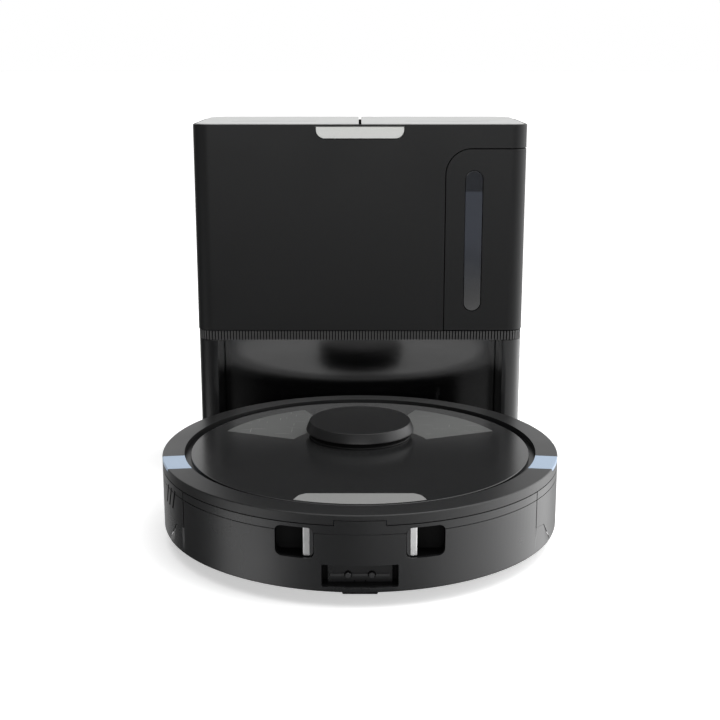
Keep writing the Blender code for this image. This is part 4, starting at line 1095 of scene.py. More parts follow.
@dataclass(frozen=True)
class SideShell:
    """The fixed wall round the robot's sides and rear, with its slanted vents."""

    sizes: RobotSizes
    bumper: Bumper
    bin_half: float = 0.0836
    bin_top: float = 0.0602
    notch_x: tuple[float, float] = (0.0880, 0.1020)
    notch_top: float = 0.0150
    vent_angles: tuple[float, ...] = (20.8, 23.8, 26.8)
    vent_slot: tuple[Point, ...] = ((0.0020, 0.0440), (0.0052, 0.0440), (-0.0020, 0.0610), (-0.0052, 0.0610))

    def build(self) -> None:
        """Build the wall."""
        size = self.sizes
        profile = self.bumper.wall_profile(size.bottom + GAP, size.wall_top)
        shell = Piece("side_wall", Shape.lathe(profile, size.facets), size.centre)
        half = self.bumper.end(size.seam + 0.0001, 0.08)
        shell.cut(Shape.extrude(half + [(-x, z) for x, z in half[::-1]], -FAR, 0.0, Axis.Y))
        shell.cut(Shape.box((-self.bin_half, 0.10, 0.0), (self.bin_half, FAR, self.bin_top)))
        for side in Side:
            notch = Shape.box((self.notch_x[0], 0.05, 0.0), (self.notch_x[1], FAR, self.notch_top))
            shell.cut(Shape.mirrored(notch, side.value))
        for angle in self.vent_angles:
            bm = Shape.extrude(self.vent_slot, 0.16, 0.18, Axis.Y)
            turn = Matrix.Rotation(math.radians(90 + angle), 3, "Z")
            bmesh.ops.rotate(bm, verts=bm.verts, cent=(0, 0, 0), matrix=turn)
            shell.cut(bm)
        shell.bevel(0.0002).cut(self.bumper.groove_cutter()).dress(SATIN_BLACK, "robot", "side_shell")


@dataclass(frozen=True)
class Lid:
    """The glossy lid, its two sheen sectors and the half-moon badge, which carries no lettering."""

    sizes: RobotSizes
    turret_hole: float = 0.0392
    inlay: float = 0.0008
    badge_half: tuple[float, float] = (0.0420, 0.0510)
    badge_y: float = -0.1190
    badge_rim: float = 0.0032
    sector_radii: tuple[float, float] = (0.0635, 0.1300)
    sector_angles: tuple[float, float] = (22.0, 66.0)

    def turret_y(self) -> float:
        """The turret's place behind the robot's centre."""
        return middle("turret_cap").y - self.sizes.centre.y

    def badge_outline(self, grow: float) -> list[Point]:
        """A half moon whose front follows the lid's rim."""
        rim = self.sizes.lid_radius - self.badge_rim + grow
        start = math.degrees(math.atan2(-0.1325, self.badge_half[1]))
        front = Shape.arc((0, 0), rim, 180 - start, 360 + start, 48)
        shoulder = Shape.smooth([front[-1], (self.badge_half[0] + 0.0055 + grow, self.badge_y - 0.0045),
                                 (self.badge_half[0] + grow, self.badge_y + grow)], 6)[1:]
        return front + shoulder + [(-x, y) for x, y in shoulder[::-1]]

    def sector_outline(self, grow: float) -> list[Point]:
        """One sector between two radii and two angles, with softened corners."""
        inner, outer = self.sector_radii[0] - grow, self.sector_radii[1] + grow
        start, end = self.sector_angles
        extra = [math.degrees(grow / radius) for radius in (inner, outer)]
        far = Shape.arc((0, 0), outer, start - extra[1], end + extra[1], 40)
        near = Shape.arc((0, 0), inner, end + extra[0], start - extra[0], 24)
        return far + near

    def build(self) -> None:
        """Build the lid and what is let into it."""
        size = self.sizes
        top, radius = size.lid_high, size.lid_radius
        disc = [(0, size.lid_low), (radius, size.lid_low), (radius, top - 0.0007),
                *[(radius - 0.0007 + x, top - 0.0007 + z) for x, z in Shape.arc((0, 0), 0.0007, 20, 90, 4)],
                (0, top)]
        lid = Piece("lid_plate", Shape.lathe(disc, size.facets, closed=False), size.centre)
        lid.cut(Shape.rod(self.turret_hole, (0, self.turret_y(), 0), (0, self.turret_y(), 0.1), 96))
        lid.cut(Shape.extrude(self.badge_outline(GAP), top - self.inlay, 0.1))
        base = corners("turret_base")[1].x + 0.0009
        clear = {"low": (0, self.turret_y(), 0), "high": (0, self.turret_y(), 0.1), "segments": 96}
        for side in Side:
            pocket = Shape.extrude(self.sector_outline(0.00015), top - 0.0005, 0.1)
            lid.cut(Shape.mirrored(pocket, side.value))
            plate = Shape.mirrored(Shape.extrude(self.sector_outline(0.0), top - 0.0004, top + 0.00005),
                                   side.value)
            sector = Piece(f"lid_sector_{side.word}", plate, size.centre)
            sector.cut(Shape.rod(base, **clear))
            sector.dress(SHEEN_BLACK, "robot")
        lid.dress(LID_BLACK, "robot", "lid")
        plate = Shape.extrude(self.badge_outline(0.0), top - self.inlay + GAP, top + 0.0002)
        badge = Piece("lid_badge", plate, size.centre)
        badge.bevel(0.0002).dress(BADGE_GREY, "robot", "badge")


@dataclass(frozen=True)
class Turret:
    """The range finder: a fixed base with four posts, a turning head and a fixed cap."""

    sizes: RobotSizes
    post_radius: float = 0.0014
    post_ring: float = 0.0405
    post_angles: tuple[float, ...] = (27.0, 153.0, 207.0, 333.0)
    facets: int = 128

    def build(self) -> None:
        """Build the three parts."""
        place = middle("turret_cap")
        shift = Vector((0, place.y, 0))
        low, high = corners("turret_base")
        radius, top = high.x, 0.0748
        base_low, spigot = self.sizes.lid_high + GAP, 0.0387
        disc = [(0.0062, top), (radius - 0.0006, top), (radius, top - 0.0005), (radius, base_low),
                (spigot, base_low), (spigot, low.z), (spigot - 0.002, low.z),
                (spigot - 0.002, base_low - 0.001), (0.0062, base_low - 0.001)]
        base = Piece("turret_tray", Shape.lathe(disc, self.facets), shift)
        cap_top = corners("turret_cap")[1].z
        for angle in self.post_angles:
            x = self.post_ring * math.cos(math.radians(angle))
            y = self.post_ring * math.sin(math.radians(angle))
            base.join(Shape.rod(self.post_radius, (x, y, top - 0.001), (x, y, cap_top - 0.0019), 20))
        base.dress(INNER_BLACK, "robot", "turret_base")
        rim = corners("turret_cap")[0].z
        outer = [(0, cap_top), (0.0446, cap_top), (0.0453, cap_top - 0.0006), (0.0480, 0.0800), (0.0482, rim)]
        inner = [(0.0464, rim), (0.0462, 0.0800), (0.0437, cap_top - 0.0016), (0, cap_top - 0.0016)]
        cap = Piece("turret_lid", Shape.lathe(outer + inner, self.facets, closed=False), shift)
        cap.dress(CAP_BLACK, "robot", "turret_cap")
        self.build_head(shift)

    def build_head(self, shift: Vector) -> None:
        """The turning head, with its two round lenses."""
        low, high = corners("lidar_rotor")
        head = [(0, low.z), (0.0055, low.z), (0.0055, 0.0753), (0.0371, 0.0753), (0.0375, 0.0757),
                (0.0375, 0.0775), (0.0345, 0.0785), (0.0345, 0.0825), (0.0365, 0.0835), (0.0365, high.z),
                (0, high.z)]
        rotor = Piece("turret_head", Shape.lathe(head, self.facets, closed=False), shift)
        rotor.cut(Shape.box((-0.012, -0.040, 0.0782), (0.012, -0.031, 0.0828)))
        rotor.dress(LID_BLACK, "lidar", "lidar_rotor")
        for side in Side:
            x = 0.0062 * side.value
            eye = Piece(f"turret_eye_{side.word}",
                        Shape.rod(0.0021, (x, -0.0335, 0.0805), (x, -0.0309, 0.0805), 28), shift)
            eye.bevel(0.0005, 2).dress(GLASS_RED, "lidar")


@dataclass(frozen=True)
class RunningGear:
    """Chassis, drive wheels with treads, arms, caster and screws."""

    sizes: RobotSizes
    repeater: Repeater
    tread_depth: float = 0.0013
    treads: int = 26

    def build(self) -> None:
        """Build all that carries the robot."""
        refined("chassis_base", INNER_BLACK, "robot", 0.0004)
        refined("caster_socket", INNER_BLACK, "robot", 0.0003)
        refined("caster_fork", MID_GREY, "caster_swivel_body", 0.0004)
        refined("caster_wheel", RUBBER, "caster_wheel_body", 0.0006)
        for side in Side:
            refined(f"wheel_arm_{side.word}", MID_GREY, f"arm_{side.word}", 0.0006)
            refined(f"drive_hub_{side.word}", MID_GREY, f"wheel_{side.word}", 0.0005)
            self.build_tyre(side)
        self.build_screws()

    def build_tyre(self, side: Side) -> None:
        """A rubber tyre: a turned ring with two offset rows of tread blocks."""
        node = f"drive_tyre_{side.word}"
        low, high = corners(node)
        centre = (low + high) / 2
        outer, half = (high.z - low.z) / 2, (high.x - low.x) / 2
        bore = (corners(f"drive_hub_{side.word}")[1].z - corners(f"drive_hub_{side.word}")[0].z) / 2 + GAP
        floor = outer - self.tread_depth
        profile = [(bore, -half), (floor - 0.0008, -half), (floor, -half + 0.0009), (floor, half - 0.0009),
                   (floor - 0.0008, half), (bore, half)]
        tyre = Shape.lathe(profile, 96)
        turn = Matrix.Rotation(math.pi / 2, 4, "Y")
        bmesh.ops.transform(tyre, verts=tyre.verts, matrix=Matrix.Translation(centre) @ turn)
        Piece(f"tyre_{side.word}", tyre).dress(RUBBER, f"wheel_{side.word}", node)
        block = Shape.box((-half * 0.45, -0.0022, -0.0004), (half * 0.45, 0.0022, self.tread_depth - 0.0001))
        places = []
        for row in (-1, 1):
            for i in range(self.treads):
                angle = math.tau * (i + (0.25 if row > 0 else -0.25)) / self.treads
                out = Vector((0, math.cos(angle), math.sin(angle)))
                along = Vector((0, -math.sin(angle), math.cos(angle)))
                places.append((centre + out * floor + Vector((row * half * 0.5, 0, 0)), out, along))
        made = self.repeater.place(f"tyre_blocks_{side.word}", block, places, RUBBER)
        made.dress(RUBBER, f"wheel_{side.word}")

    def build_screws(self) -> None:
        """Cross-headed screws in the chassis."""
        dome = [(0, 0), (0.0027, 0), (0.0026, 0.0006), (0.0018, 0.0011), (0, 0.0012)]
        head = Piece("head", Shape.lathe(dome, 20, closed=False))
        for size in ((0.0016, 0.00035), (0.00035, 0.0016)):
            head.cut(Shape.box((-size[0], -size[1], 0.0006), (size[0], size[1], 0.002)))
        bm = bmesh.new()
        bm.from_mesh(head.obj.data)
        bpy.data.objects.remove(head.obj, do_unlink=True)
        level = corners("chassis_base")[0].z
        spots = [(-0.146, 0.020), (0.146, 0.020), (-0.128, -0.060), (0.128, -0.060), (-0.050, -0.135),
                 (0.050, -0.135)]
        places = [(Vector((x, y + self.sizes.centre.y, level)), Vector((0, 0, -1)), Vector((0, 1, 0)))
                  for x, y in spots]
        self.repeater.place("chassis_screws", bm, places, STEEL).dress(STEEL, "robot")


@dataclass(frozen=True)
class Brushes:
    """The main roller with rows of bristles along its fins, and the side brush with its tufts."""

    repeater: Repeater
    fins: int = 6
    twist: float = 50.0
    rows_per_fin: int = 58
    tuft_foot: float = 0.0121
    arm_angles: tuple[int, ...] = (30, 150, 270)
    strands: int = 14
    strand_pitch: float = 0.9
    strand_level: float = 0.0062
    strand_from: float = 0.0100
    strand_to: float = 0.0330

    def build(self) -> None:
        """Build both brushes and what they turn in."""
        refined("brush_guard", MID_GREY, "robot", 0.0005)
        refined("brush_housing", INNER_BLACK, "robot", 0.0003)
        refined("main_brush", FIN_BLUE, "main_brush_body", 0.0003)
        self.build_bristles()
        refined("side_brush", FIN_BLUE, "side_brush_body", 0.0003)
        self.build_tufts()

    def build_bristles(self) -> None:
        """Short tufts between the fins, in chevrons like the fins themselves."""
        low, high = corners("main_brush")
        centre = (low + high) / 2
        half = (high.x - low.x) / 2 - 0.0060
        places = []
        for fin in range(self.fins):
            for i in range(self.rows_per_fin):
                share = (i + 0.5) / self.rows_per_fin
                angle = math.tau * (fin + 0.5) / self.fins + math.radians(self.twist) * abs(2 * share - 1)
                out = Vector((0, math.cos(angle), math.sin(angle)))
                x = -half + 2 * half * share
                places.append((centre + Vector((x, 0, 0)) + out * self.tuft_foot, out, Vector((1, 0, 0))))
        tuft = bmesh.new()
        bmesh.ops.create_cone(tuft, cap_ends=True, segments=5, radius1=0.0007, radius2=0.0003, depth=0.0085,
                              matrix=Matrix.Translation((0, 0, 0.0042)))
        made = self.repeater.place("roller_bristles", tuft, places, BRISTLE, 0.12, 0.10, 11)
        made.dress(BRISTLE, "main_brush_body")

    def build_tufts(self) -> None:
        """Fine strands in a fan at the end of each arm of the side brush."""
        hub = middle("side_brush_motor")
        centre = Vector((hub.x, hub.y, self.strand_level))
        length = self.strand_to - self.strand_from
        places = []
        for arm in self.arm_angles:
            for i in range(self.strands):
                angle = math.radians(arm + (i - (self.strands - 1) / 2) * self.strand_pitch)
                out = Vector((math.cos(angle), math.sin(angle), -0.03)).normalized()
                foot = centre + out * self.strand_from + Vector((0, 0, 0.0006 * (i % 3)))
                places.append((foot, out, Vector((0, 0, 1))))
        strand = bmesh.new()
        bmesh.ops.create_cone(strand, cap_ends=True, segments=5, radius1=0.0003, radius2=0.00018,
                              depth=length, matrix=Matrix.Translation((0, 0, length / 2)))
        made = self.repeater.place("side_strands", strand, places, BRISTLE, 0.04, 0.03, 5)
        made.dress(BRISTLE, "side_brush_body")


# ------------------------------------------------------------------ the dock


@dataclass(frozen=True)
class DockSizes:
    """Sizes that the dock's shells share, drawn from its front face."""

    wall: float = 0.0025
    corner_front: float = 0.016
    corner_rear: float = 0.026
    steps: int = 14
    origin: Vector = field(default_factory=lambda: Vector((0, corners("upper_shell")[0].y, 0)))
    half: float = field(default_factory=lambda: corners("upper_shell")[1].x)
    depth: float = field(default_factory=lambda: corners("upper_shell")[1].y - corners("upper_shell")[0].y)

    def outline(self, inset: float) -> list[Point]:
        """The dock seen from above, moved in."""
        radii = [self.corner_front - min(inset, 0.006)] * 2 + [self.corner_rear - inset] * 2
        return Shape.rounded((-self.half + inset, inset), (self.half - inset, self.depth - inset), radii,
                             self.steps)

    def block(self, low: float, high: float, inset: float = 0.0, round_low: float = 0.0008,
              round_high: float = 0.0008) -> bmesh.types.BMesh:
        """The dock's outline stacked from low to high, its lower and upper edges rounded."""
        levels: list[Point] = []
        for edge, radius, inwards in ((low, round_low, 1), (high, round_high, -1)):
            for turn in (0.0, 0.3, 0.6, 1.0)[::inwards] if radius else (1.0,):
                quarter = turn * math.pi / 2
                levels.append((edge + inwards * radius * (1 - math.cos(quarter)),
                               radius * (1 - math.sin(quarter))))
        bm = bmesh.new()
        rows = [[bm.verts.new((x, y, z)) for x, y in self.outline(inset + more)] for z, more in levels]
        for before, after in zip(rows, rows[1:]):
            for i in range(len(before)):
                j = (i + 1) % len(before)
                bm.faces.new((before[i], before[j], after[j], after[i]))
        bm.faces.new(rows[0][::-1])
        bm.faces.new(rows[-1])
        return bm


@dataclass(frozen=True)
class DockShells:
    """The dock's upper housing, its release tab and the two halves of its top cover."""

    sizes: DockSizes
    tab_half: float = 0.041
    tab_corner: float = 0.008
    groove_x: tuple[float, float] = (0.0420, 0.1250)
    groove_y: tuple[float, float] = (0.0500, 0.0560)
    seat_y: float = 0.112
    cover_inset: float = 0.0030
    cover_rear_inset: float = 0.0012
    cup_gap: float = 0.0008
    duct_radius: float = 0.0120
    duct_place: Point = (0.0700, 0.2900)

    def tab_outline(self, grow: float) -> list[Point]:
        """The release tab's front: square upper corners and round lower ones."""
        low, high = corners("release_tab")
        radius = self.tab_corner + grow
        return Shape.rounded((-self.tab_half - grow, low.z - grow), (self.tab_half + grow, high.z + grow),
                             [radius, radius, 0, 0], 12)

    def build(self, cup: "DustCup") -> None:
        """Build the housing round the cup's bay, then the tab and covers.

        Args:
            cup: The dust cup, whose outline the housing is cut to.
        """
        size, gap = self.sizes, self.cup_gap
        low, high = corners("upper_shell")
        shell = Piece("dock_housing", size.block(low.z, high.z), size.origin)
        wall, partition = size.wall, cup.left - gap - size.wall
        near, rear = size.corner_front - wall, size.corner_rear - wall
        left = Shape.rounded((-size.half + wall, wall), (partition, size.depth - wall), [near, 0, 0, rear])
        behind = cup.depth + gap + wall
        right = Shape.rounded((partition - 0.01, behind), (size.half - wall, size.depth - wall),
                              [0, 0, rear, 0])
        shell.cut(Shape.extrude(left, 0, FAR * 2), Shape.extrude(right, 0, FAR * 2))
        shell.cut(Shape.extrude(cup.outline(gap), -FAR, cup.depth + gap, Axis.Y))
        over = Shape.rounded((partition - 0.01, wall), (size.half - wall, behind + 0.01), [0, near, 0, 0])
        shell.cut(Shape.extrude(over, cup.top + 0.0033, FAR * 2))
        shell.cut(Shape.extrude(self.tab_outline(0.0006), -FAR, 0.010, Axis.Y))
        seat = corners("top_cover_left")[0].z - GAP
        shell.cut(Shape.box((-FAR, self.seat_y, seat), (FAR, FAR, FAR * 2)))
        y, z = self.duct_place
        shell.cut(Shape.rod(self.duct_radius, (cup.left - 0.02, y, z), (cup.left + 0.02, y, z), 48))
        shell.bevel(0.0005).dress(DOCK_BLACK, "root", "upper_shell")
        plate = Shape.extrude(self.tab_outline(0.0), 0.0002, 0.0048, Axis.Y)
        tab = Piece("release_latch", plate, size.origin)
        tab.bevel(0.0005, 3).dress(TAB_GREY, "release_tab_body", "release_tab")
        for side in Side:
            self.build_cover(side)

    def build_cover(self, side: Side) -> None:
        """One half of the top cover, with its long thin recess."""
        size = self.sizes
        low, high = corners(f"top_cover_{side.word}")
        front = self.cover_inset
        radii = [size.corner_front - front] * 2 + [size.corner_rear - front] * 2
        far = (size.half - front, size.depth - self.cover_rear_inset)
        outline = Shape.rounded((-size.half + front, front), far, radii, size.steps)
        cover = Piece(f"cover_{side.word}", Shape.extrude(outline, low.z, high.z), size.origin)
        gap = min(abs(low.x), abs(high.x))
        cover.cut(Shape.mirrored(Shape.box((-0.2, -0.1, 0.3), (gap, 0.2, 0.4)), side.value))
        recess = Shape.rounded((self.groove_x[0], self.groove_y[0]), (self.groove_x[1], self.groove_y[1]),
                               [0.0028] * 4, 8)
        cover.cut(Shape.mirrored(Shape.extrude(recess, high.z - 0.0006, 0.4), side.value))
        cover.bevel(0.0005, 3).dress(COVER_GREY, f"cover_{side.word}", f"top_cover_{side.word}")


@dataclass(frozen=True)
class DustCup:
    """The cup that slides out of the dock's right side, with its slot window, lid and cyclone."""

    sizes: DockSizes
    corner: float = 0.024
    wall: float = 0.0030
    slot_radius: float = 0.0085
    slot_x: float = 0.1070
    slot_z: tuple[float, float] = (0.1660, 0.3000)
    ceiling: float = 0.2930
    port_radius: float = 0.0110
    port_place: Point = (0.0700, 0.2800)
    left: float = field(default_factory=lambda: corners("dust_cup")[0].x)
    top: float = field(default_factory=lambda: corners("dust_cup")[1].z)
    bottom: float = field(default_factory=lambda: corners("dust_cup")[0].z)
    depth: float = field(default_factory=lambda: corners("dust_cup")[1].y - corners("dust_cup")[0].y)

    def outline(self, grow: float) -> list[Point]:
        """The cup's front with its one round corner, past the dock's side on the right."""
        far = (self.sizes.half + 0.02, self.top + grow)
        return Shape.rounded((self.left - grow, self.bottom - grow), far, [0, 0, 0, self.corner + grow], 16)

    def slot(self, grow: float) -> list[Point]:
        """The window's outline with round ends."""
        radius = self.slot_radius + grow
        low, high = self.slot_z[0] + self.slot_radius, self.slot_z[1] - self.slot_radius
        return Shape.arc((self.slot_x, high), radius, 0, 180, 24) + Shape.arc(
            (self.slot_x, low), radius, 180, 360, 24)

    def build(self) -> None:
        """Build the cup and what rides on it."""
        size = self.sizes
        cup = Piece("cup_shell", size.block(self.bottom, self.top), size.origin)
        cup.keep(Shape.extrude(self.outline(0.0), -0.01, self.depth, Axis.Y))
        wall = self.wall
        inside = Shape.rounded((self.left + wall, wall), (size.half - wall, self.depth - wall),
                               [0, size.corner_front - wall, 0, 0])
        cup.cut(Shape.extrude(inside, self.bottom + wall, self.ceiling))
        cup.cut(Shape.box((self.left + 0.0260, 0.0150, 0.2900),
                          (size.half - 0.0100, self.depth - 0.0120, FAR * 2)))
        cup.cut(Shape.extrude(self.slot(0.0), -0.01, 0.0100, Axis.Y))
        y, z = self.port_place
        cup.cut(Shape.rod(self.port_radius, (self.left - 0.02, y, z), (self.left + 0.01, y, z), 48))
        cup.bevel(0.0005).dress(DOCK_BLACK, "dust_cup_body", "dust_cup")
        window = Piece("slot_window", Shape.extrude(self.slot(-GAP), 0.0006, 0.0028, Axis.Y), size.origin)
        window.bevel(0.0006, 3).dress(SMOKE, "dust_cup_body", "cup_window")
        refined("cup_lid", MID_GREY, "dust_cup_body", 0.0008)
        refined("cyclone", MID_GREY, "dust_cup_body", 0.0005)


@dataclass(frozen=True)
class DockBase:
    """The tray that the robot drives onto, the lower housing, the gloss wall and the ribbed band."""

    sizes: DockSizes
    repeater: Repeater
    ribs: RibRow
    pitch: float = 0.0029
    ramp_bars: int = 9
    ramp_pitch: float = 0.0046
    ramp_x: float = 0.116
    bay_half: float = 0.1373
    bay_depth: float = 0.065
    inner_wall: float = 0.003
    pillar_front: float = 0.0035
    floor: float = 0.0088

    def build(self) -> None:
        """Build the dock's lower part."""
        refined("dock_tray", DOCK_BLACK, "root", 0.0007, 3)
        refined("evac_seal", RUBBER, "root", 0.0008, 3)
        refined("alcove_panel", PANEL_BLACK, "root", 0.0005)
        refined("power_inlet", INNER_BLACK, "root", 0.0004)
        for side in Side:
            refined(f"charge_contact_{side.word}", BRASS, f"contact_{side.word}", 0.0003)
        self.build_housing()
        self.build_band()
        self.build_ramp()

    def build_housing(self) -> None:
        """The lower housing: two pillars and a rear box round the open bay."""
        size = self.sizes
        low, high = corners("lower_housing")
        bay_half, bay_depth, wall = self.bay_half, self.bay_depth, size.wall
        shell = Piece("base_housing", size.block(low.z, high.z, 0.0005, 0.0006, 0.0006), size.origin)
        shell.cut(Shape.box((-bay_half, -FAR, 0), (bay_half, bay_depth, FAR)))
        inner = self.inner_wall
        near, rear, right = size.corner_front - inner, size.corner_rear - inner, size.half - inner
        back = Shape.rounded((-right, bay_depth + wall), (right, size.depth - inner), [0, 0, rear, rear])
        shell.cut(Shape.extrude(back, self.floor, FAR))
        for side in Side:
            pillar = Shape.rounded((bay_half + wall, self.pillar_front), (right, bay_depth + 0.01),
                                   [0, near, 0, 0])
            shell.cut(Shape.mirrored(Shape.extrude(pillar, self.floor, FAR), side.value))
        shell.cut(Shape.box((-0.031, 0.0760, 0), (0.031, 0.0930, 0.0500)))
        shell.cut(Shape.box((0.0790, size.depth - 0.02, 0.0290), (0.1110, size.depth + 0.02, 0.0510)))
        shell.bevel(0.0005).dress(PILLAR_BLACK, "root", "lower_housing")

    def build_band(self) -> None:
        """The exhaust band: a low wall with upright ribs all round, the wall painted near-black as shade
        between the ribs.
        """
        size = self.sizes
        low, high = corners("exhaust_band")
        band = Piece("band_wall", Shape.extrude(size.outline(0.0016), low.z, high.z), size.origin)
        band.cut(Shape.extrude(size.outline(0.0035), low.z + 0.0022, FAR))
        band.cut(Shape.rod(0.0170, (0.045, 0.1180, 0), (0.045, 0.1180, FAR), 48))
        # Painted shade: the wall behind the ribs takes the near-black shade finish so that the gaps between
        # ribs read dark.
        band.dress(SHADE_BLACK, "root", "exhaust_band")
        outline = [(x, y + size.origin.y) for x, y in size.outline(0.0012)]
        height = high.z - low.z
        ribs = self.ribs.place("band_ribs", outline, (low.z + high.z) / 2, RIB_BLACK, Pitch=self.pitch,
                               Width=0.0015, Depth=0.0014, Height=height)
        ribs.dress(RIB_BLACK, "root")

    def build_ramp(self) -> None:
        """Low cross bars on the tray's ramp, where the drive wheels climb."""
        size = self.sizes
        top = corners("dock_tray")[1].z
        section = [(0.0, -0.0108), (0.0006, -0.0102), (0.0006, 0.0102), (0.0, 0.0108)]
        bar = Shape.lathe(section, 10, closed=False)
        places = []
        for side in Side:
            for i in range(self.ramp_bars):
                y = size.origin.y - 0.012 + self.ramp_pitch * i
                place = Vector((self.ramp_x * side.value, y, top))
                places.append((place, Vector((1, 0, 0)), Vector((0, 1, 0))))
        self.repeater.place("ramp_bars", bar, places, DOCK_BLACK).dress(DOCK_BLACK, "root")


# ------------------------------------------------------------------ inner pieces


@dataclass(frozen=True)
class Internals:
    """The dustbin and the pieces inside both housings. Those of plain shape keep their CAD mesh."""

    kept: dict[str, Finish] = field(default_factory=lambda: {
        "dock_motor": STEEL, "dock_impeller": STEEL, "hepa_filter": FILTER, "power_board": BOARD,
        "evac_duct": MID_GREY, "fan_housing": MID_GREY, "fan_impeller": STEEL, "battery_pack": WRAP,
        "main_board": BOARD, "brush_motor": STEEL, "side_brush_motor": STEEL, "bin_filter": FILTER,
        "bumper_spring_left": STEEL, "bumper_spring_right": STEEL})

    def build(self) -> None:
        """Finish the kept meshes and refine the bin."""
        for node, finish in self.kept.items():
            obj = frame["nodes"][node]
            if obj.material_slots:
                for slot in obj.material_slots:
                    slot.material = finish.material()
            else:
                obj.data.materials.append(finish.material())
            LOG.info("%s: kept with %s", node, finish.name)
        refined("dustbin", INNER_BLACK, "dustbin_body", 0.0005)
        refined("bin_lid", INNER_BLACK, "dustbin_body", 0.0006)
        refined("bin_button", MID_GREY, "bin_button_body", 0.0008, 3)


# ------------------------------------------------------------------ studio


@dataclass(frozen=True)
class Studio:
    """A white floor, a soft surround, softboxes overhead and in front, and the camera."""

    camera_back: float = 1.04876
    camera_height: float = 0.40437
    camera_tilt: float = 76.425
    lens: float = 63.05
    low_light: tuple[tuple[float, float], ...] = (
        (-180, 0.55), (-150, 0.50), (-125, 0.10), (-100, 0.15), (-84, 1.4), (-68, 2.6), (-48, 1.6),
        (-28, 0.45), (-10, 0.14), (0, 0.14), (10, 0.16), (28, 0.45), (48, 1.5), (75, 2.6), (110, 3.2),
        (140, 1.6), (160, 0.60), (180, 0.55))
    middle_light: tuple[tuple[float, float], ...] = (
        (-180, 0.9), (-150, 0.8), (-125, 0.12), (-100, 0.10), (-84, 0.12), (-60, 0.12), (-20, 0.10),
        (-4, 0.14), (4, 1.6), (12, 2.2), (30, 2.2), (75, 3.0), (110, 4.0), (140, 2.0), (160, 0.9),
        (180, 0.9))
    level_light: tuple[tuple[float, float], ...] = (
        (-180, 0.9), (-150, 0.8), (-125, 0.12), (-100, 0.12), (-84, 0.16), (-60, 0.18), (-40, 0.16),
        (-10, 0.16), (0, 0.16), (10, 0.16), (28, 0.20), (48, 0.30), (75, 0.8), (110, 1.4), (140, 1.2),
        (160, 0.9), (180, 0.9))
    high_light: tuple[tuple[float, float], ...] = (
        (-180, 0.9), (-150, 0.8), (-125, 0.12), (-100, 0.12), (-84, 0.20), (-60, 0.25), (-40, 0.18),
        (-10, 0.16), (0, 0.16), (10, 0.16), (28, 0.30), (48, 0.9), (75, 3.2), (110, 4.0), (140, 2.0),
        (160, 0.9), (180, 0.9))
    steps: tuple[tuple[float, float], ...] = ((-0.31, -0.275), (-0.215, -0.155), (0.0, 0.1))
    upward_light: tuple[tuple[float, float], ...] = (
        (-1.0, 0.15), (-0.55, 0.3), (-0.35, 0.9), (0.0, 1.0), (0.35, 1.0), (0.6, 0.55), (1.0, 0.8))

    def build(self) -> None:
        """Set up the floor, the light and the camera."""
        self.build_floor()
        self.build_surround()
        self.build_softboxes()
        self.build_camera()
        scene = bpy.context.scene
        scene.view_settings.view_transform = "Standard"

    def build_floor(self) -> None:
        """A wide white floor that glows a little, so that only soft shadows show."""
        bm = bmesh.new()
        bmesh.ops.create_grid(bm, x_segments=1, y_segments=1, size=30.0)
        floor = Piece("studio_floor", bm).obj
        shader = Shader("studio_white")
        shader.feed("Base Color", shader.blend(shader.noise(3.0), (0.88, 0.88, 0.88), (0.92, 0.92, 0.92)))
        shader.set(Roughness=0.9, Specular_IOR_Level=0.1, Emission_Color=(1, 1, 1, 1), Emission_Strength=0.45)
        floor.data.materials.append(shader.material)
        floor.visible_glossy = False

    def build_surround(self) -> None:
        """A surround of soft light: dim in front, bright to both sides, white where it is seen."""
        world = bpy.data.worlds.new("soft_surround")
        bpy.context.scene.world = world
        world.use_nodes = True
        tree = world.node_tree
        tree.nodes.clear()
        place = tree.nodes.new("ShaderNodeTexCoord")
        split = tree.nodes.new("ShaderNodeSeparateXYZ")
        tree.links.new(place.outputs["Generated"], split.inputs[0])
        angle = tree.nodes.new("ShaderNodeMath")
        angle.operation = "ARCTAN2"
        flip = tree.nodes.new("ShaderNodeMath")
        flip.operation = "MULTIPLY"
        flip.inputs[1].default_value = -1.0
        tree.links.new(split.outputs["Y"], flip.inputs[0])
        tree.links.new(split.outputs["X"], angle.inputs[0])
        tree.links.new(flip.outputs[0], angle.inputs[1])
        lights = (self.low_light, self.middle_light, self.level_light, self.high_light)
        rounds = [self.curve(tree, angle.outputs[0], -math.pi, math.pi,
                             [((a + 180) / 360, v) for a, v in light]) for light in lights]
        around = rounds[0]
        for (start, end), light in zip(self.steps, rounds[1:]):
            level = tree.nodes.new("ShaderNodeMapRange")
            level.inputs["From Min"].default_value = start
            level.inputs["From Max"].default_value = end
            tree.links.new(split.outputs["Z"], level.inputs["Value"])
            layer = tree.nodes.new("ShaderNodeMix")
            layer.data_type = "FLOAT"
            tree.links.new(level.outputs["Result"], layer.inputs[0])
            tree.links.new(around, layer.inputs[2])
            tree.links.new(light, layer.inputs[3])
            around = layer.outputs[0]
        upward = self.curve(tree, split.outputs["Z"], -1.0, 1.0,
                            [((z + 1) / 2, v) for z, v in self.upward_light])
        both = tree.nodes.new("ShaderNodeMath")
        both.operation = "MULTIPLY"
        tree.links.new(around, both.inputs[0])
        tree.links.new(upward, both.inputs[1])
        path = tree.nodes.new("ShaderNodeLightPath")
        mix = tree.nodes.new("ShaderNodeMix")
        mix.data_type = "FLOAT"
        tree.links.new(path.outputs["Is Camera Ray"], mix.inputs[0])
        tree.links.new(both.outputs[0], mix.inputs[2])
        mix.inputs[3].default_value = 1.0
        back = tree.nodes.new("ShaderNodeBackground")
        back.inputs["Color"].default_value = (1, 1, 1, 1)
        tree.links.new(mix.outputs[0], back.inputs["Strength"])
        end = tree.nodes.new("ShaderNodeOutputWorld")
        tree.links.new(back.outputs[0], end.inputs["Surface"])

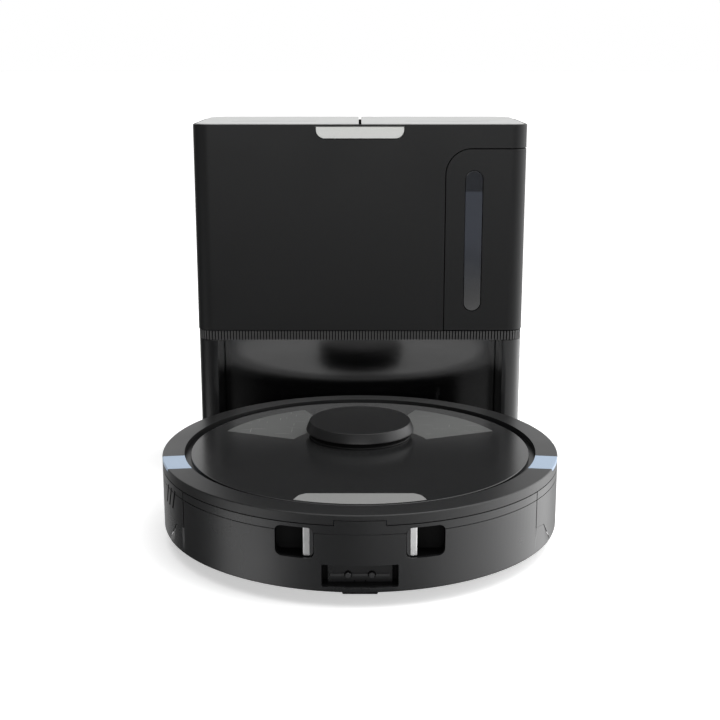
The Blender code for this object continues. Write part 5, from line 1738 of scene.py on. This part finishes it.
    @staticmethod
    def curve(tree: NodeTree, value: bpy.types.NodeSocket, low: float, high: float,
              points: Sequence[Point]) -> bpy.types.NodeSocket:
        """A smooth curve of brightness through the points.

        Args:
            tree: The world's tree.
            value: What it is read by.
            low: The value at the curve's start.
            high: The value at its end.
            points: (place from 0 to 1, brightness).

        Returns:
            The brightness.
        """
        span = tree.nodes.new("ShaderNodeMapRange")
        span.inputs["From Min"].default_value = low
        span.inputs["From Max"].default_value = high
        tree.links.new(value, span.inputs["Value"])
        top = max(v for _, v in points)
        made = tree.nodes.new("ShaderNodeFloatCurve")
        line = made.mapping.curves[0]
        for i, (place, brightness) in enumerate(points):
            if i < 1:
                line.points[0].location = (place, brightness / top)
            elif i == len(points) - 1:
                line.points[-1].location = (place, brightness / top)
            else:
                line.points.new(place, brightness / top)
        made.mapping.update()
        tree.links.new(span.outputs["Result"], made.inputs["Value"])
        scale = tree.nodes.new("ShaderNodeMath")
        scale.operation = "MULTIPLY"
        scale.inputs[1].default_value = top
        tree.links.new(made.outputs["Value"], scale.inputs[0])
        return scale.outputs[0]

    def build_softboxes(self) -> None:
        """A wide soft light overhead, and one in front that the gloss wall mirrors off the lid."""
        for name, width, height, power, place, tilt in (
                ("overhead_softbox", 2.2, 2.2, 22.0, (0.0, -0.1, 1.9), 0.0),
                ("front_softbox", 1.9, 0.42, 13.0, (0.0, -2.1, 0.62), 76.0)):
            light = bpy.data.lights.new(name, "AREA")
            light.shape = "RECTANGLE"
            light.size, light.size_y = width, height
            light.energy = power
            obj = bpy.data.objects.new(name, light)
            obj.location = place
            obj.rotation_euler = (math.radians(tilt), 0, 0)
            bpy.context.scene.collection.objects.link(obj)

    def build_camera(self) -> None:
        """The camera, level from side to side and tipped down at the robot."""
        data = bpy.data.cameras.new("camera")
        data.lens = self.lens
        obj = bpy.data.objects.new("camera", data)
        obj.location = (0, middle("top_ring").y - self.camera_back, self.camera_height)
        obj.rotation_euler = (math.radians(self.camera_tilt), 0, 0)
        bpy.context.scene.collection.objects.link(obj)
        bpy.context.scene.camera = obj


def main() -> None:
    """Build every sub-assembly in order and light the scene."""
    logging.basicConfig(level=logging.INFO, format="%(message)s")
    Studio().build()
    repeater, ribs = Repeater(), RibRow()
    robot = RobotSizes()
    bumper = Bumper(robot)
    TopRing(robot).build()
    bumper.build()
    SideShell(robot, bumper).build()
    Lid(robot).build()
    Turret(robot).build()
    RunningGear(robot, repeater).build()
    Brushes(repeater).build()
    dock = DockSizes()
    cup = DustCup(dock)
    DockShells(dock).build(cup)
    cup.build()
    DockBase(dock, repeater, ribs).build()
    Internals().build()


if __name__ == "__main__":
    main()
